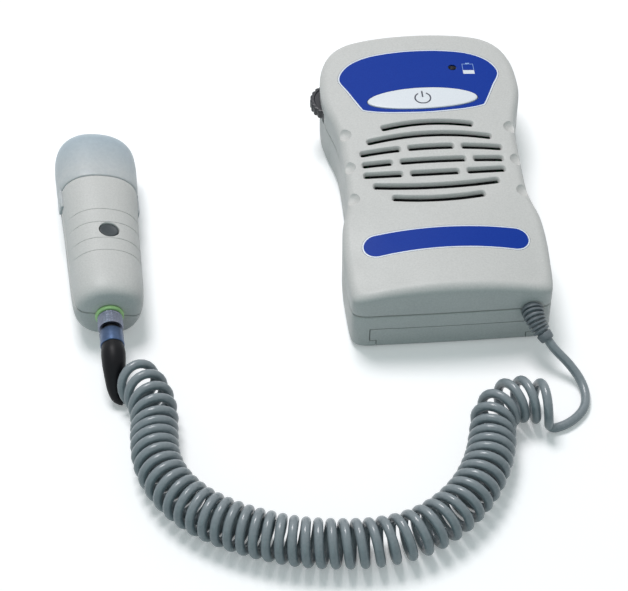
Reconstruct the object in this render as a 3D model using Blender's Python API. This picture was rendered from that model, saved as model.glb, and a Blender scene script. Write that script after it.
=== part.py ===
"""Vascular doppler: handset with speaker, curly cord with round plug, and a capped pencil probe.

Metres, +Z up. The handset stands on z = 0 with its length along Y. Its speaker end with the blue
strip and the cord outlet faces -Y. The probe lies beside it at -X, with its plug towards -Y.
"""
import math
import bpy
import bmesh
from mathutils import Matrix, Vector

MM = 0.001
GAP = 0.3 * MM
BITE = 0.5 * MM
FAR = 90.0 * MM
WELD = 0.01 * MM

# handset
HALF_W = 37.5 * MM
HALF_L = 72.5 * MM
HEIGHT = 31.0 * MM
PARTING_Z = 17.0 * MM
SIDE_WALL = 2.2 * MM
TOP_WALL = 2.4 * MM
FLOOR_WALL = 2.2 * MM
TOP_FILLET = 3.8 * MM
FLOOR_FILLET = 2.5 * MM
INNER_FILLET = 1.4 * MM
LIP_SKIN = 1.0 * MM
LIP_RISE = 1.4 * MM
REBATE_RISE = 1.9 * MM
CROWN_MID = 2.3 * MM
CROWN_FRONT = 5.3 * MM
CROWN_FROM_Y = -25.0 * MM
FILLET_STEPS = 2
INNER_STEPS = 1
OUTLINE_SHARES = (
    (0.0, 1.0), (0.24, 0.9966), (0.427, 0.9903), (0.613, 0.9779), (0.76, 0.9572),
    (0.88, 0.9186), (0.96, 0.8662), (1.019, 0.7945), (1.051, 0.7172), (1.064, 0.6207),
    (1.061, 0.531), (1.027, 0.4276), (0.984, 0.3448), (0.944, 0.2483), (0.928, 0.1655),
    (0.917, -0.0828), (0.925, -0.2966), (0.96, -0.3862), (1.003, -0.4759), (1.024, -0.6345),
    (1.019, -0.7724), (1.003, -0.9172), (0.976, -0.971), (0.907, -0.9917), (0.64, -0.9972),
    (0.32, -0.9993), (0.0, -1.0))
ACROSS_SHARES = (0.66, 0.33, 0.0, -0.33, -0.66)
INSIDE_SHARES = (0.5, 0.0, -0.5)

# finger scallops
SCALLOP_R = 4.2 * MM
SCALLOP_X = 33.6 * MM
SCALLOP_Z = 31.6 * MM
SCALLOP_YS = (14.0 * MM, -4.6 * MM, -22.0 * MM)

# speaker and its grille
SPEAKER_Y = -4.1 * MM
SLOT_W = 2.8 * MM
SLOT_ROWS = (
    (17.4 * MM, 18.0 * MM, 1.9 * MM, 0.0), (10.7 * MM, 24.3 * MM, 2.4 * MM, 0.0),
    (3.3 * MM, 27.6 * MM, 1.3 * MM, 10.45 * MM), (-4.2 * MM, 27.3 * MM, 0.0, 14.25 * MM),
    (-11.3 * MM, 27.3 * MM, -1.3 * MM, 10.95 * MM), (-18.7 * MM, 24.1 * MM, -2.4 * MM, 0.0),
    (-25.5 * MM, 17.6 * MM, -1.9 * MM, 0.0))
SLOT_BAR = 3.2 * MM
SLOT_BOTTOM = 24.0 * MM
SLOT_TOP = 33.0 * MM
SLOT_STEPS = 3
SLOT_STEPS_SHORT = 2
RING_IN = 25.3 * MM
RING_OUT = 26.7 * MM
RING_BOTTOM = 24.5 * MM
SCREEN_R = 25.0 * MM
SCREEN_Z = (26.8 * MM, 27.2 * MM)
BASKET = (
    (25.0 * MM, 26.5 * MM), (25.0 * MM, 24.6 * MM), (23.4 * MM, 24.2 * MM),
    (13.6 * MM, 19.0 * MM), (11.0 * MM, 19.0 * MM), (11.0 * MM, 20.0 * MM),
    (12.9 * MM, 20.2 * MM), (22.4 * MM, 25.2 * MM), (22.4 * MM, 26.5 * MM))
CONE = (
    (0.0, 20.9 * MM), (5.0 * MM, 20.9 * MM), (11.5 * MM, 21.0 * MM), (21.9 * MM, 25.7 * MM),
    (21.9 * MM, 26.2 * MM), (12.0 * MM, 21.6 * MM), (6.4 * MM, 21.6 * MM),
    (4.6 * MM, 22.5 * MM), (2.4 * MM, 23.1 * MM), (0.0, 23.3 * MM))
MAGNET_R = 12.5 * MM
MAGNET_Z = (13.5 * MM, 18.7 * MM)

# blue keypad overlay, power key and what lies under them
OVERLAY = (
    (0.0, 60.9 * MM), (11.0 * MM, 60.4 * MM), (20.4 * MM, 58.9 * MM), (26.5 * MM, 56.2 * MM),
    (30.5 * MM, 52.4 * MM), (32.6 * MM, 46.7 * MM), (29.4 * MM, 38.4 * MM),
    (25.3 * MM, 28.5 * MM), (24.4 * MM, 26.9 * MM), (18.0 * MM, 24.7 * MM),
    (10.0 * MM, 23.5 * MM), (0.0, 22.9 * MM))
OVERLAY_T = 0.5 * MM
RECESS_DEEP = 0.8 * MM
LAYER_SHARES = (0.4, 0.75)
KEY_Y = 31.5 * MM
KEY_HALF = (22.0 * MM, 6.2 * MM)
KEY_FLANGE = 1.2 * MM
KEY_FLANGE_T = 0.8 * MM
KEY_PROUD = 0.4 * MM
KEY_SEGS = 24
KEY_SHARES = (0.5,)
PLUNGER_R = 1.7 * MM
PLUNGER_Z = (25.9 * MM, 27.2 * MM)
SWITCH_HALF = 3.0 * MM
SWITCH_Z = (25.4 * MM, 26.6 * MM)
BOARD_T = 1.2 * MM
KEY_BOARD_X = 24.0 * MM
KEY_BOARD_Y = (24.0 * MM, 57.0 * MM)
KEY_BOARD_Z = 23.9 * MM
KEY_POSTS = ((21.5 * MM, 26.4 * MM), (20.0 * MM, 54.0 * MM))
KEY_SCREWS = ((-21.5 * MM, 26.4 * MM), (20.0 * MM, 54.0 * MM))
KEY_POST_R = 1.6 * MM
KEY_POST_TOP = 28.6 * MM
KEY_HOLE_R = 1.0 * MM
KEY_SCREW_R = 0.7 * MM
KEY_HEAD_R = 1.4 * MM
KEY_HEAD_T = 0.9 * MM
KEY_SCREW_TOP = 27.2 * MM
KEY_HOLE_TOP = 27.6 * MM
LED_AT = (14.0 * MM, 49.5 * MM)
LED_R = 1.4 * MM
LED_TOP = 30.7 * MM
LED_FLANGE_R = 1.9 * MM
LED_FLANGE_T = 0.9 * MM

# bare blue strip near the front end
STRIP_HALF = 31.5 * MM
STRIP_MID_Y = -46.3 * MM
STRIP_ARCH = 1.9 * MM
STRIP_H = 11.5 * MM
STRIP_STEPS = 7

# volume wheel in the left side
WHEEL_AT = (-34.3 * MM, 44.0 * MM)
WHEEL_R = 9.7 * MM
WHEEL_RIDGE = 0.45 * MM
WHEEL_RIDGES = 24
WHEEL_Z = (18.0 * MM, 22.0 * MM)
WHEEL_BORE = 1.8 * MM
WHEEL_SLOT_HALF = 9.7 * MM
WHEEL_NOTCH_HALF = 10.4 * MM
WHEEL_SLOT_TOP = 22.4 * MM
WHEEL_SLOT_X = (-43.0 * MM, -33.5 * MM)
WHEEL_NOTCH_Z = 16.6 * MM
POT_HALF = (2.5 * MM, 4.0 * MM)
POT_Z = (8.2 * MM, 17.4 * MM)
POT_SHAFT_R = 1.5 * MM
POT_SHAFT_TOP = 21.2 * MM

# main board
MAIN_INSET = 3.4 * MM
MAIN_Y = (-28.0 * MM, 54.0 * MM)
MAIN_Z = 6.3 * MM
MAIN_T = 1.6 * MM
MAIN_POSTS = ((24.0 * MM, -23.5 * MM), (24.0 * MM, 49.5 * MM))
MAIN_SCREWS = ((-24.0 * MM, -23.5 * MM), (24.0 * MM, 49.5 * MM))
MAIN_POST_R = 2.4 * MM
MAIN_HOLE_R = 1.2 * MM
MAIN_HOLE_BOTTOM = 2.9 * MM
MAIN_SCREW_R = 0.9 * MM
MAIN_HEAD_R = 1.9 * MM
MAIN_HEAD_T = 1.1 * MM
MAIN_SCREW_BOTTOM = 3.3 * MM
CHIP = ((-14.0 * MM, -2.0 * MM), (4.0 * MM, 16.0 * MM), 2.0 * MM)
TRANSFORMER = ((6.0 * MM, 15.0 * MM), (-22.0 * MM, -10.0 * MM), 4.2 * MM)

# case screws
CASE_POSTS = ((28.5 * MM, 60.0 * MM), (31.0 * MM, -33.0 * MM))
CASE_LOW_R = 3.2 * MM
CASE_LOW_TOP = 16.0 * MM
CASE_HIGH_R = 3.0 * MM
CASE_HIGH_Z = (16.3 * MM, 28.0 * MM)
CASE_HOLE_R = 1.5 * MM
CASE_HOLE_TOP = 24.2 * MM
CASE_COUNTER_R = 2.25 * MM
CASE_COUNTER_Z = 11.0 * MM
CASE_SHANK_R = 1.2 * MM
CASE_SHANK_TOP = 23.6 * MM
CASE_HEAD_R = 1.9 * MM
CASE_HEAD_T = 1.5 * MM

# battery and its door
BATTERY_X = (-24.2 * MM, 22.2 * MM)
BATTERY_Y = (-67.0 * MM, -40.5 * MM)
BATTERY_Z = (2.5 * MM, 20.0 * MM)
STUDS = ((-46.9 * MM, 3.9 * MM), (-60.6 * MM, 2.9 * MM))
STUD_Z = 11.25 * MM
STUD_END_X = 24.2 * MM
SNAP_X = (22.5 * MM, 26.0 * MM)
SNAP_Y = (-66.0 * MM, -41.5 * MM)
SNAP_Z = (5.5 * MM, 17.0 * MM)
SNAP_BORE_CLEAR = 0.4 * MM
DOOR_BACK_Y = -38.8 * MM
DOOR_LOW_X = 28.0 * MM
DOOR_HIGH_X = 30.4 * MM
DOOR_STEP_Z = 4.5 * MM
DOOR_TOP_Z = 10.3 * MM
DOOR_TRAVEL = 24.0 * MM
RIB_X = (26.4 * MM, 27.7 * MM)
RIB_Z = (2.0 * MM, 6.4 * MM)
RIB_Y = (-69.6 * MM, -41.0 * MM)
TONGUE_X = 30.1 * MM
TONGUE_Z = (5.05 * MM, 6.2 * MM)
RAIL_X = (28.7 * MM, 31.0 * MM)
RAIL_Z = (2.0 * MM, 4.7 * MM)
RAIL_Y = (-69.8 * MM, -39.2 * MM)
WALL_Y = (-38.2 * MM, -36.7 * MM)
WALL_X = 36.2 * MM
WALL_Z = (2.0 * MM, 16.0 * MM)

# strain relief at the front end
OUTLET = (29.3 * MM, 17.4 * MM)
OUTLET_HOLE_R = 3.3 * MM
OUTLET_NECK_R = 3.0 * MM
OUTLET_FLANGE_R = 3.8 * MM
OUTLET_FLANGE_Y = (-67.5 * MM, -68.7 * MM)
OUTLET_START_Y = -72.9 * MM
BOOT_ROUTE = (
    (29.3 * MM, -72.9 * MM, 17.4 * MM), (29.9 * MM, -76.2 * MM, 16.5 * MM),
    (31.5 * MM, -80.0 * MM, 14.4 * MM), (34.2 * MM, -83.6 * MM, 11.8 * MM))
BOOT_RIBS = 8
BOOT_RIB_R = (4.2 * MM, 2.9 * MM)
BOOT_GROOVE = 0.75 * MM
BOOT_COLLAR_R = 2.5 * MM

# cord
WIRE_R = 1.7 * MM
WIRE_REST = 0.08 * MM
WIRE_RES = 1
COIL_R = 7.1 * MM
COIL_GAP = 0.5 * MM
COIL_PER_TURN = 8
COIL_CHORD = 18.0 * MM
COIL_STEP = 0.5 * MM
COIL_LEAST_COS = 0.3
COIL_LEAN = 3.0 * MM
COIL_LEAN_RUN = 26.0 * MM
COIL_LEAN_SHARE = 1.1
COIL_OPEN_SHARE = 0.14
COIL_OPEN_AT_SHARE = 0.60
COIL_OPEN_WIDE_SHARE = 0.12
COIL_START_DEG = -90.0
COIL_END_DEG = 225.0
AXIS_STEPS = 24
COIL_AXIS = (
    (-118.0 * MM, -88.85 * MM), (-115.2 * MM, -92.6 * MM), (-112.6 * MM, -98.6 * MM),
    (-111.3 * MM, -106.6 * MM), (-111.5 * MM, -116.0 * MM), (-110.9 * MM, -126.5 * MM),
    (-107.2 * MM, -137.2 * MM), (-98.8 * MM, -148.2 * MM), (-87.8 * MM, -156.2 * MM),
    (-76.0 * MM, -161.8 * MM), (-63.3 * MM, -165.8 * MM), (-49.8 * MM, -167.8 * MM),
    (-36.2 * MM, -168.0 * MM), (-22.8 * MM, -165.1 * MM), (-11.2 * MM, -158.4 * MM),
    (-1.6 * MM, -148.4 * MM), (5.0 * MM, -136.2 * MM), (8.0 * MM, -126.0 * MM),
    (9.8 * MM, -117.0 * MM), (15.4 * MM, -110.0 * MM), (23.6 * MM, -109.0 * MM),
    (32.4 * MM, -113.6 * MM))
LEAD_ROUTE = ((-118.3 * MM, -92.3 * MM, 1.82 * MM),)
LEAD_AHEAD = (0.96, -0.05, -0.2)
PLUG_END = 0.9 * MM
TAIL_ROUTE = (
    (31.8 * MM, -117.2 * MM, 1.9 * MM), (36.0 * MM, -116.0 * MM, 1.8 * MM),
    (40.8 * MM, -112.8 * MM, 1.8 * MM), (44.4 * MM, -108.2 * MM, 1.8 * MM),
    (45.8 * MM, -102.0 * MM, 1.9 * MM), (44.8 * MM, -96.4 * MM, 3.2 * MM),
    (41.4 * MM, -91.3 * MM, 6.2 * MM))
ROUTE_STEPS = 2
PLUG_ROUTE = (
    (-125.48 * MM, -76.3 * MM, 13.5 * MM), (-125.25 * MM, -80.0 * MM, 13.3 * MM),
    (-125.2 * MM, -83.8 * MM, 12.0 * MM), (-125.3 * MM, -87.3 * MM, 9.2 * MM),
    (-125.2 * MM, -90.0 * MM, 5.9 * MM), (-124.6 * MM, -91.6 * MM, 3.6 * MM),
    (-123.5 * MM, -92.2 * MM, 2.7 * MM))
PLUG_BOOT_R = (4.2 * MM, 4.5 * MM, 4.3 * MM, 3.6 * MM, 3.0 * MM, 2.5 * MM, 2.3 * MM)

# probe
PROBE_AT = (-126.5 * MM, -60.0 * MM, 13.5 * MM)
PROBE_YAW_DEG = 3.5
PROBE_ROLL_DEG = 14.0
SECTION_POWER = 2.3
SECTION_SEGS = 24
PROBE_OUT = (
    (0.0, 8.6 * MM, 8.6 * MM), (0.5 * MM, 10.5 * MM, 10.5 * MM),
    (2.0 * MM, 12.0 * MM, 12.0 * MM), (5.0 * MM, 12.9 * MM, 12.9 * MM),
    (24.0 * MM, 13.8 * MM, 13.0 * MM), (40.0 * MM, 14.15 * MM, 13.0 * MM),
    (52.0 * MM, 14.7 * MM, 13.0 * MM), (61.7 * MM, 15.0 * MM, 12.9 * MM),
    (61.7 * MM, 13.2 * MM, 10.8 * MM), (70.0 * MM, 13.2 * MM, 10.8 * MM))
PROBE_IN = (
    (2.0 * MM, 8.6 * MM, 8.6 * MM), (3.0 * MM, 10.2 * MM, 10.2 * MM),
    (6.0 * MM, 11.1 * MM, 11.1 * MM), (24.0 * MM, 12.0 * MM, 11.2 * MM),
    (52.0 * MM, 12.9 * MM, 11.2 * MM), (57.0 * MM, 12.9 * MM, 11.0 * MM),
    (60.0 * MM, 11.5 * MM, 9.1 * MM), (71.0 * MM, 11.5 * MM, 9.1 * MM))
CAP_OUT = (
    (62.0 * MM, 15.2 * MM, 12.9 * MM), (64.0 * MM, 15.6 * MM, 13.0 * MM),
    (72.0 * MM, 15.85 * MM, 13.0 * MM), (78.5 * MM, 15.85 * MM, 13.0 * MM),
    (84.0 * MM, 15.2 * MM, 12.5 * MM), (87.5 * MM, 13.4 * MM, 11.0 * MM),
    (89.7 * MM, 10.4 * MM, 8.6 * MM), (90.5 * MM, 6.0 * MM, 5.0 * MM))
CAP_IN = (
    (61.0 * MM, 13.6 * MM, 11.2 * MM), (64.0 * MM, 13.9 * MM, 11.3 * MM),
    (72.0 * MM, 14.2 * MM, 11.4 * MM), (78.5 * MM, 14.2 * MM, 11.4 * MM),
    (83.2 * MM, 13.4 * MM, 10.8 * MM), (86.3 * MM, 11.6 * MM, 9.4 * MM),
    (88.2 * MM, 8.6 * MM, 7.0 * MM), (88.8 * MM, 5.0 * MM, 4.0 * MM))
TAB_X = (14.0 * MM, 15.5 * MM)
TAB_HALF_Z = 2.6 * MM
TAB_Y = (53.2 * MM, 63.0 * MM)
TAB_SLOT_X = (13.7 * MM, 17.0 * MM)
TAB_SLOT_HALF_Z = 3.1 * MM
TAB_SLOT_Y = (52.6 * MM, 62.4 * MM)
PUSH_Y = 32.0 * MM
PUSH_HALF = (3.6 * MM, 3.2 * MM)
PUSH_TOP = 12.6 * MM
PUSH_FLANGE = 1.0 * MM
PUSH_FLANGE_Z = (9.2 * MM, 10.0 * MM)
PUSH_STEM_R = 1.2 * MM
PUSH_STEM_BOTTOM = 2.6 * MM
PUSH_SEGS = 16
PUSH_SWITCH_HALF = 3.0 * MM
PUSH_SWITCH_TOP = 1.5 * MM
PROBE_BOARD_HALF = 8.6 * MM
PROBE_BOARD_Y = (13.0 * MM, 52.0 * MM)
PROBE_BOARD_Z = (-3.8 * MM, -2.6 * MM)
PROBE_POSTS = ((0.0, 17.0 * MM), (0.0, 48.0 * MM))
PROBE_POST_R = 2.0 * MM
PROBE_POST_Z = (-12.2 * MM, -4.1 * MM)
PROBE_HOLE_R = 1.1 * MM
PROBE_HOLE_Z = -9.6 * MM
PROBE_SCREW_R = 0.8 * MM
PROBE_SCREW_Z = -9.2 * MM
PROBE_HEAD_R = 1.7 * MM
PROBE_HEAD_T = 1.0 * MM
PROBE_CHIP = ((-4.0 * MM, 4.0 * MM), (39.0 * MM, 44.0 * MM), (-2.3 * MM, -0.9 * MM))
HOUSING = (
    (0.0, 57.0 * MM), (8.5 * MM, 57.0 * MM), (8.5 * MM, 76.0 * MM), (7.6 * MM, 76.0 * MM),
    (7.4 * MM, 60.0 * MM), (0.0, 60.0 * MM))
BACKING_R = 7.0 * MM
BACKING_Y = (60.3 * MM, 69.6 * MM)
CRYSTAL_R = 7.0 * MM
CRYSTAL_Y = (69.9 * MM, 71.0 * MM)
CRYSTAL_SPLIT = 0.4 * MM
LENS = (
    (0.0, 71.3 * MM), (7.0 * MM, 71.3 * MM), (7.0 * MM, 75.0 * MM), (5.2 * MM, 76.3 * MM),
    (2.6 * MM, 76.9 * MM), (0.0, 77.1 * MM))
PORT_HOLE_R = 5.0 * MM
GREEN_RING = (
    (3.5 * MM, -1.5 * MM), (5.0 * MM, -1.5 * MM), (5.35 * MM, -1.1 * MM),
    (5.35 * MM, -0.35 * MM), (4.7 * MM, -0.35 * MM), (4.7 * MM, 2.2 * MM), (3.5 * MM, 2.2 * MM))
SOCKET = (
    (3.4 * MM, 2.5 * MM), (5.6 * MM, 2.5 * MM), (5.6 * MM, 11.5 * MM), (0.0, 11.5 * MM),
    (0.0, 9.7 * MM), (3.4 * MM, 9.7 * MM))

# plug
SLEEVE_Y = (-7.5 * MM, -1.8 * MM)
SLEEVE_R = 4.75 * MM
SLEEVE_GROOVE = 0.25 * MM
SLEEVE_BANDS = 3
SLEEVE_BORE = 3.35 * MM
SLEEVE_TRAVEL = 1.5 * MM
BARREL = (
    (3.3 * MM, -16.0 * MM), (4.45 * MM, -16.0 * MM), (4.45 * MM, -9.9 * MM),
    (4.1 * MM, -9.3 * MM), (3.3 * MM, -9.3 * MM))
INSERT = (
    (0.0, -15.9 * MM), (3.0 * MM, -15.9 * MM), (3.0 * MM, 8.9 * MM), (2.4 * MM, 8.9 * MM),
    (2.4 * MM, 3.0 * MM), (0.0, 3.0 * MM))
PIN_R = 0.4 * MM
PIN_SEGS = 6
PIN_RING_R = 1.2 * MM
PIN_Y = (2.5 * MM, 8.3 * MM)
PINS = 4
ROUND = 20
SMALL_ROUND = 10
TINY_ROUND = 8
SMOOTH_DEG = 38.0

for old in list(bpy.data.objects):
    bpy.data.objects.remove(old)

COLOURS = {}


def material(name, colour, rough, metal=0.0):
    mat = bpy.data.materials.new(name)
    mat.use_nodes = True
    shader = mat.node_tree.nodes["Principled BSDF"]
    shader.inputs["Base Color"].default_value = (*colour, 1.0)
    shader.inputs["Roughness"].default_value = rough
    shader.inputs["Metallic"].default_value = metal
    COLOURS[name] = mat
    return name


SHELL = material("shell_plastic", (0.62, 0.61, 0.58), 0.5)
BLUE = material("blue_panel", (0.02, 0.06, 0.35), 0.3)
WHITE = material("key_plastic", (0.8, 0.8, 0.78), 0.4)
BLACK = material("black_plastic", (0.02, 0.02, 0.02), 0.5)
RUBBER = material("boot_rubber", (0.018, 0.018, 0.02), 0.55)
CORD = material("cord_vinyl", (0.2, 0.22, 0.23), 0.35)
METAL = material("plug_metal", (0.45, 0.46, 0.48), 0.3, 1.0)
STEEL = material("screw_steel", (0.5, 0.5, 0.5), 0.35, 1.0)
GREEN = material("green_plastic", (0.12, 0.42, 0.05), 0.4)
BOARD = material("board_green", (0.02, 0.18, 0.06), 0.5)
CAP = material("cap_plastic", (0.36, 0.45, 0.52), 0.45)
PAPER = material("speaker_paper", (0.03, 0.03, 0.03), 0.8)
AMBER = material("lamp_amber", (0.7, 0.25, 0.02), 0.3)
CERAMIC = material("crystal_ceramic", (0.6, 0.55, 0.42), 0.5)
LENS_MAT = material("lens_resin", (0.25, 0.27, 0.3), 0.3)
JACKET = material("battery_jacket", (0.05, 0.05, 0.06), 0.35)


def new_mesh(name, verts, faces):
    """A closed mesh from points and faces, with every face turned outward."""
    mesh = bpy.data.meshes.new(name)
    mesh.from_pydata([tuple(v) for v in verts], [], faces)
    clean(mesh)
    obj = bpy.data.objects.new(name, mesh)
    bpy.context.scene.collection.objects.link(obj)
    return obj


def clean(mesh):
    work = bmesh.new()
    work.from_mesh(mesh)
    bmesh.ops.remove_doubles(work, verts=work.verts, dist=WELD)
    bmesh.ops.dissolve_degenerate(work, edges=work.edges, dist=WELD)
    bmesh.ops.recalc_face_normals(work, faces=work.faces)
    work.to_mesh(mesh)
    work.free()


def joined(name, objs):
    """One object that holds several separate closed bodies."""
    verts = []
    faces = []
    for obj in objs:
        base = len(verts)
        verts += [obj.matrix_world @ v.co for v in obj.data.vertices]
        faces += [[base + i for i in p.vertices] for p in obj.data.polygons]
        drop(obj)
    return new_mesh(name, verts, faces)


def drop(obj):
    mesh = obj.data
    bpy.data.objects.remove(obj)
    bpy.data.meshes.remove(mesh)


def boolean(obj, tool, kind):
    """Cuts, adds or keeps with a tool body, then removes the tool."""
    mod = obj.modifiers.new(kind, "BOOLEAN")
    mod.operation = kind
    mod.solver = "EXACT"
    mod.object = tool
    bpy.context.view_layer.update()
    graph = bpy.context.evaluated_depsgraph_get()
    mesh = bpy.data.meshes.new_from_object(obj.evaluated_get(graph))
    old = obj.data
    obj.modifiers.clear()
    obj.data = mesh
    bpy.data.meshes.remove(old)
    drop(tool)
    clean(obj.data)
    return obj


def cut(obj, tool):
    return boolean(obj, tool, "DIFFERENCE")


def add(obj, tool):
    return boolean(obj, tool, "UNION")


def keep(obj, tool):
    return boolean(obj, tool, "INTERSECT")


def copy_of(obj, name):
    twin = bpy.data.objects.new(name, obj.data.copy())
    bpy.context.scene.collection.objects.link(twin)
    return twin


def finish(obj, name, mat, origin=(0.0, 0.0, 0.0)):
    """Names a finished piece, gives it its material and puts its origin where it turns or slides."""
    obj.name = name
    obj.data.name = name
    shift = Vector(origin)
    obj.data.transform(Matrix.Translation(-shift))
    obj.location = shift
    obj.data.materials.clear()
    obj.data.materials.append(COLOURS[mat])
    for poly in obj.data.polygons:
        poly.use_smooth = True
    obj.data.set_sharp_from_angle(angle=math.radians(SMOOTH_DEG))
    return obj


def skin(rings):
    """Points and side faces through rings of equal count."""
    count = len(rings[0])
    verts = [p for ring in rings for p in ring]
    faces = []
    for k in range(len(rings) - 1):
        for i in range(count):
            j = (i + 1) % count
            a = k * count
            b = a + count
            faces.append([a + i, a + j, b + j, b + i])
    return verts, faces


def loft(name, rings, first_pole=None, last_pole=None):
    """A closed body through rings of equal count, ended by a point or by a flat face."""
    count = len(rings[0])
    verts, faces = skin(rings)
    for pole, start in ((first_pole, 0), (last_pole, (len(rings) - 1) * count)):
        if pole is None:
            faces.append([start + i for i in range(count)])
            continue
        verts.append(pole)
        tip = len(verts) - 1
        faces += [[start + i, start + (i + 1) % count, tip] for i in range(count)]
    return new_mesh(name, verts, faces)


def prism(name, outline, z_low, z_high):
    low = [(x, y, z_low) for x, y in outline]
    high = [(x, y, z_high) for x, y in outline]
    return loft(name, [low, high])


def box(name, xs, ys, zs):
    outline = [(xs[0], ys[0]), (xs[1], ys[0]), (xs[1], ys[1]), (xs[0], ys[1])]
    return prism(name, outline, zs[0], zs[1])


def circle(x, y, r, segs, start=0.0):
    step = math.tau / segs
    return [(x + r * math.cos(start + step * i), y + r * math.sin(start + step * i))
            for i in range(segs)]


def rod(name, at, r, zs, segs=SMALL_ROUND):
    return prism(name, circle(at[0], at[1], r, segs), zs[0], zs[1])


def turned(name, profile, place, segs=ROUND):
    """A body turned about an axis; a profile row is radius and height, place sets a point."""
    closed = profile[0][0] > 0
    step = math.tau / segs
    verts = []
    where = []
    for r, h in profile:
        if r == 0:
            where.append([len(verts)] * segs)
            verts.append(place(0.0, 0.0, h))
            continue
        where.append([len(verts) + i for i in range(segs)])
        verts += [place(r * math.cos(step * i), r * math.sin(step * i), h) for i in range(segs)]
    faces = []
    pairs = list(zip(where, where[1:]))
    if closed:
        pairs.append((where[-1], where[0]))
    for low, high in pairs:
        for i in range(segs):
            j = (i + 1) % segs
            ring = []
            for v in (low[i], low[j], high[j], high[i]):
                if v not in ring:
                    ring.append(v)
            if len(ring) > 2:
                faces.append(ring)
    return new_mesh(name, verts, faces)


def upright(x, y):
    return lambda u, v, h: (x + u, y + v, h)


def smooth_route(points, steps, closed=False):
    """Points along a smooth line through the given ones, closer where they are closer."""
    pts = [Vector(p) for p in points]
    count = len(pts)
    out = []
    spans = count if closed else count - 1
    for i in range(spans):
        p1 = pts[i]
        p2 = pts[(i + 1) % count]
        p0 = pts[i - 1] if closed or i > 0 else p1 + p1 - p2
        p3 = pts[(i + 2) % count] if closed or i < count - 2 else p2 + p2 - p1
        t1 = math.sqrt((p1 - p0).length)
        t2 = t1 + math.sqrt((p2 - p1).length)
        t3 = t2 + math.sqrt((p3 - p2).length)
        for k in range(steps):
            t = t1 + (t2 - t1) * k / steps
            a1 = p0.lerp(p1, t / t1)
            a2 = p1.lerp(p2, (t - t1) / (t2 - t1))
            a3 = p2.lerp(p3, (t - t2) / (t3 - t2))
            b1 = a1.lerp(a2, t / t2)
            b2 = a2.lerp(a3, (t - t1) / (t3 - t1))
            out.append(b1.lerp(b2, (t - t1) / (t2 - t1)))
    if not closed:
        out.append(pts[-1])
    return out


def grown(outline, by):
    """The outline moved outward by a distance; the points run clockwise or the other way."""
    count = len(outline)
    area = sum(outline[i][0] * outline[(i + 1) % count][1]
               - outline[(i + 1) % count][0] * outline[i][1] for i in range(count))
    side = by if area > 0 else -by
    out = []
    for i in range(count):
        a = Vector(outline[i - 1])
        b = Vector(outline[i])
        c = Vector(outline[(i + 1) % count])
        d1 = (b - a).normalized()
        d2 = (c - b).normalized()
        n1 = Vector((d1.y, -d1.x))
        n2 = Vector((d2.y, -d2.x))
        mid = n1 + n2
        out.append(tuple(b + mid * (side * 2 / mid.length_squared)))
    return out


def crown_drop(x, y):
    """How far the top lies below its ridge, more towards the front end."""
    u = (CROWN_FROM_Y - y) / (CROWN_FROM_Y + HALF_L)
    u = min(1.0, max(0.0, u))
    deep = CROWN_MID + (CROWN_FRONT - CROWN_MID) * u * u * (3 - 2 * u)
    return deep * (x / HALF_W) ** 2


def top_z(x, y):
    return HEIGHT - crown_drop(x, y)


def half_plan():
    right = [(HALF_W * x, HALF_L * y) for x, y in OUTLINE_SHARES]
    left = [(-x, y) for x, y in right[-2:0:-1]]
    return right + left


PLAN = half_plan()


def plan_ring(inset, z=None, below_top=0.0):
    """The handset outline drawn in by a distance, at one height or following the crown."""
    kx = 1 - inset / HALF_W
    ky = 1 - inset / HALF_L
    ring = [(x * kx, y * ky) for x, y in PLAN]
    if z is not None:
        return [(x, y, z) for x, y in ring]
    return [(x, y, top_z(x, y) - below_top) for x, y in ring]


def fillet_rings(inset, radius, below_top, z_floor=None, steps=FILLET_STEPS):
    """Rings round an edge, from the flat face to the upright side."""
    rings = []
    flat = plan_ring(inset + radius, below_top=below_top)
    for k in range(1, steps + 1):
        turn = math.pi / 2 * k / steps
        side = plan_ring(inset + radius * (1 - math.sin(turn)), 0.0)
        fall = radius * (1 - math.cos(turn))
        if z_floor is None:
            rings.append([(s[0], s[1], f[2] - fall) for s, f in zip(side, flat)])
        else:
            rings.append([(s[0], s[1], z_floor + fall) for s in side])
    return rings


def crown_rows(verts, start, shares, below):
    """Fills the outline ring that begins at one vertex with rows from side to side."""
    half = len(PLAN) // 2
    rows = []
    for i in range(1, half):
        x, y = verts[start + i][:2]
        row = [start + i]
        for share in shares:
            verts.append((x * share, y, top_z(x * share, y) - below))
            row.append(len(verts) - 1)
        row.append(start + len(PLAN) - i)
        rows.append(row)
    faces = []
    for a, b in zip(rows, rows[1:]):
        faces += [[a[k], a[k + 1], b[k + 1], b[k]] for k in range(len(a) - 1)]
    for end, row in ((start, rows[0]), (start + half, rows[-1])):
        faces += [[row[k], row[k + 1], end] for k in range(len(row) - 1)]
    return faces


def top_shell_body():
    rings = [plan_ring(TOP_FILLET)]
    rings += fillet_rings(0.0, TOP_FILLET, 0.0)
    rim = PARTING_Z + GAP / 2
    rings.append(plan_ring(0.0, rim))
    rings.append(plan_ring(LIP_SKIN, rim))
    rings.append(plan_ring(LIP_SKIN, PARTING_Z + REBATE_RISE))
    rings.append(plan_ring(SIDE_WALL, PARTING_Z + REBATE_RISE))
    rings += fillet_rings(SIDE_WALL, INNER_FILLET, TOP_WALL, steps=INNER_STEPS)[::-1]
    rings.append(plan_ring(SIDE_WALL + INNER_FILLET, below_top=TOP_WALL))
    verts, faces = skin(rings)
    faces += crown_rows(verts, 0, ACROSS_SHARES, 0.0)
    faces += crown_rows(verts, (len(rings) - 1) * len(PLAN), INSIDE_SHARES, TOP_WALL)
    return new_mesh("top_shell", verts, faces)


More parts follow.
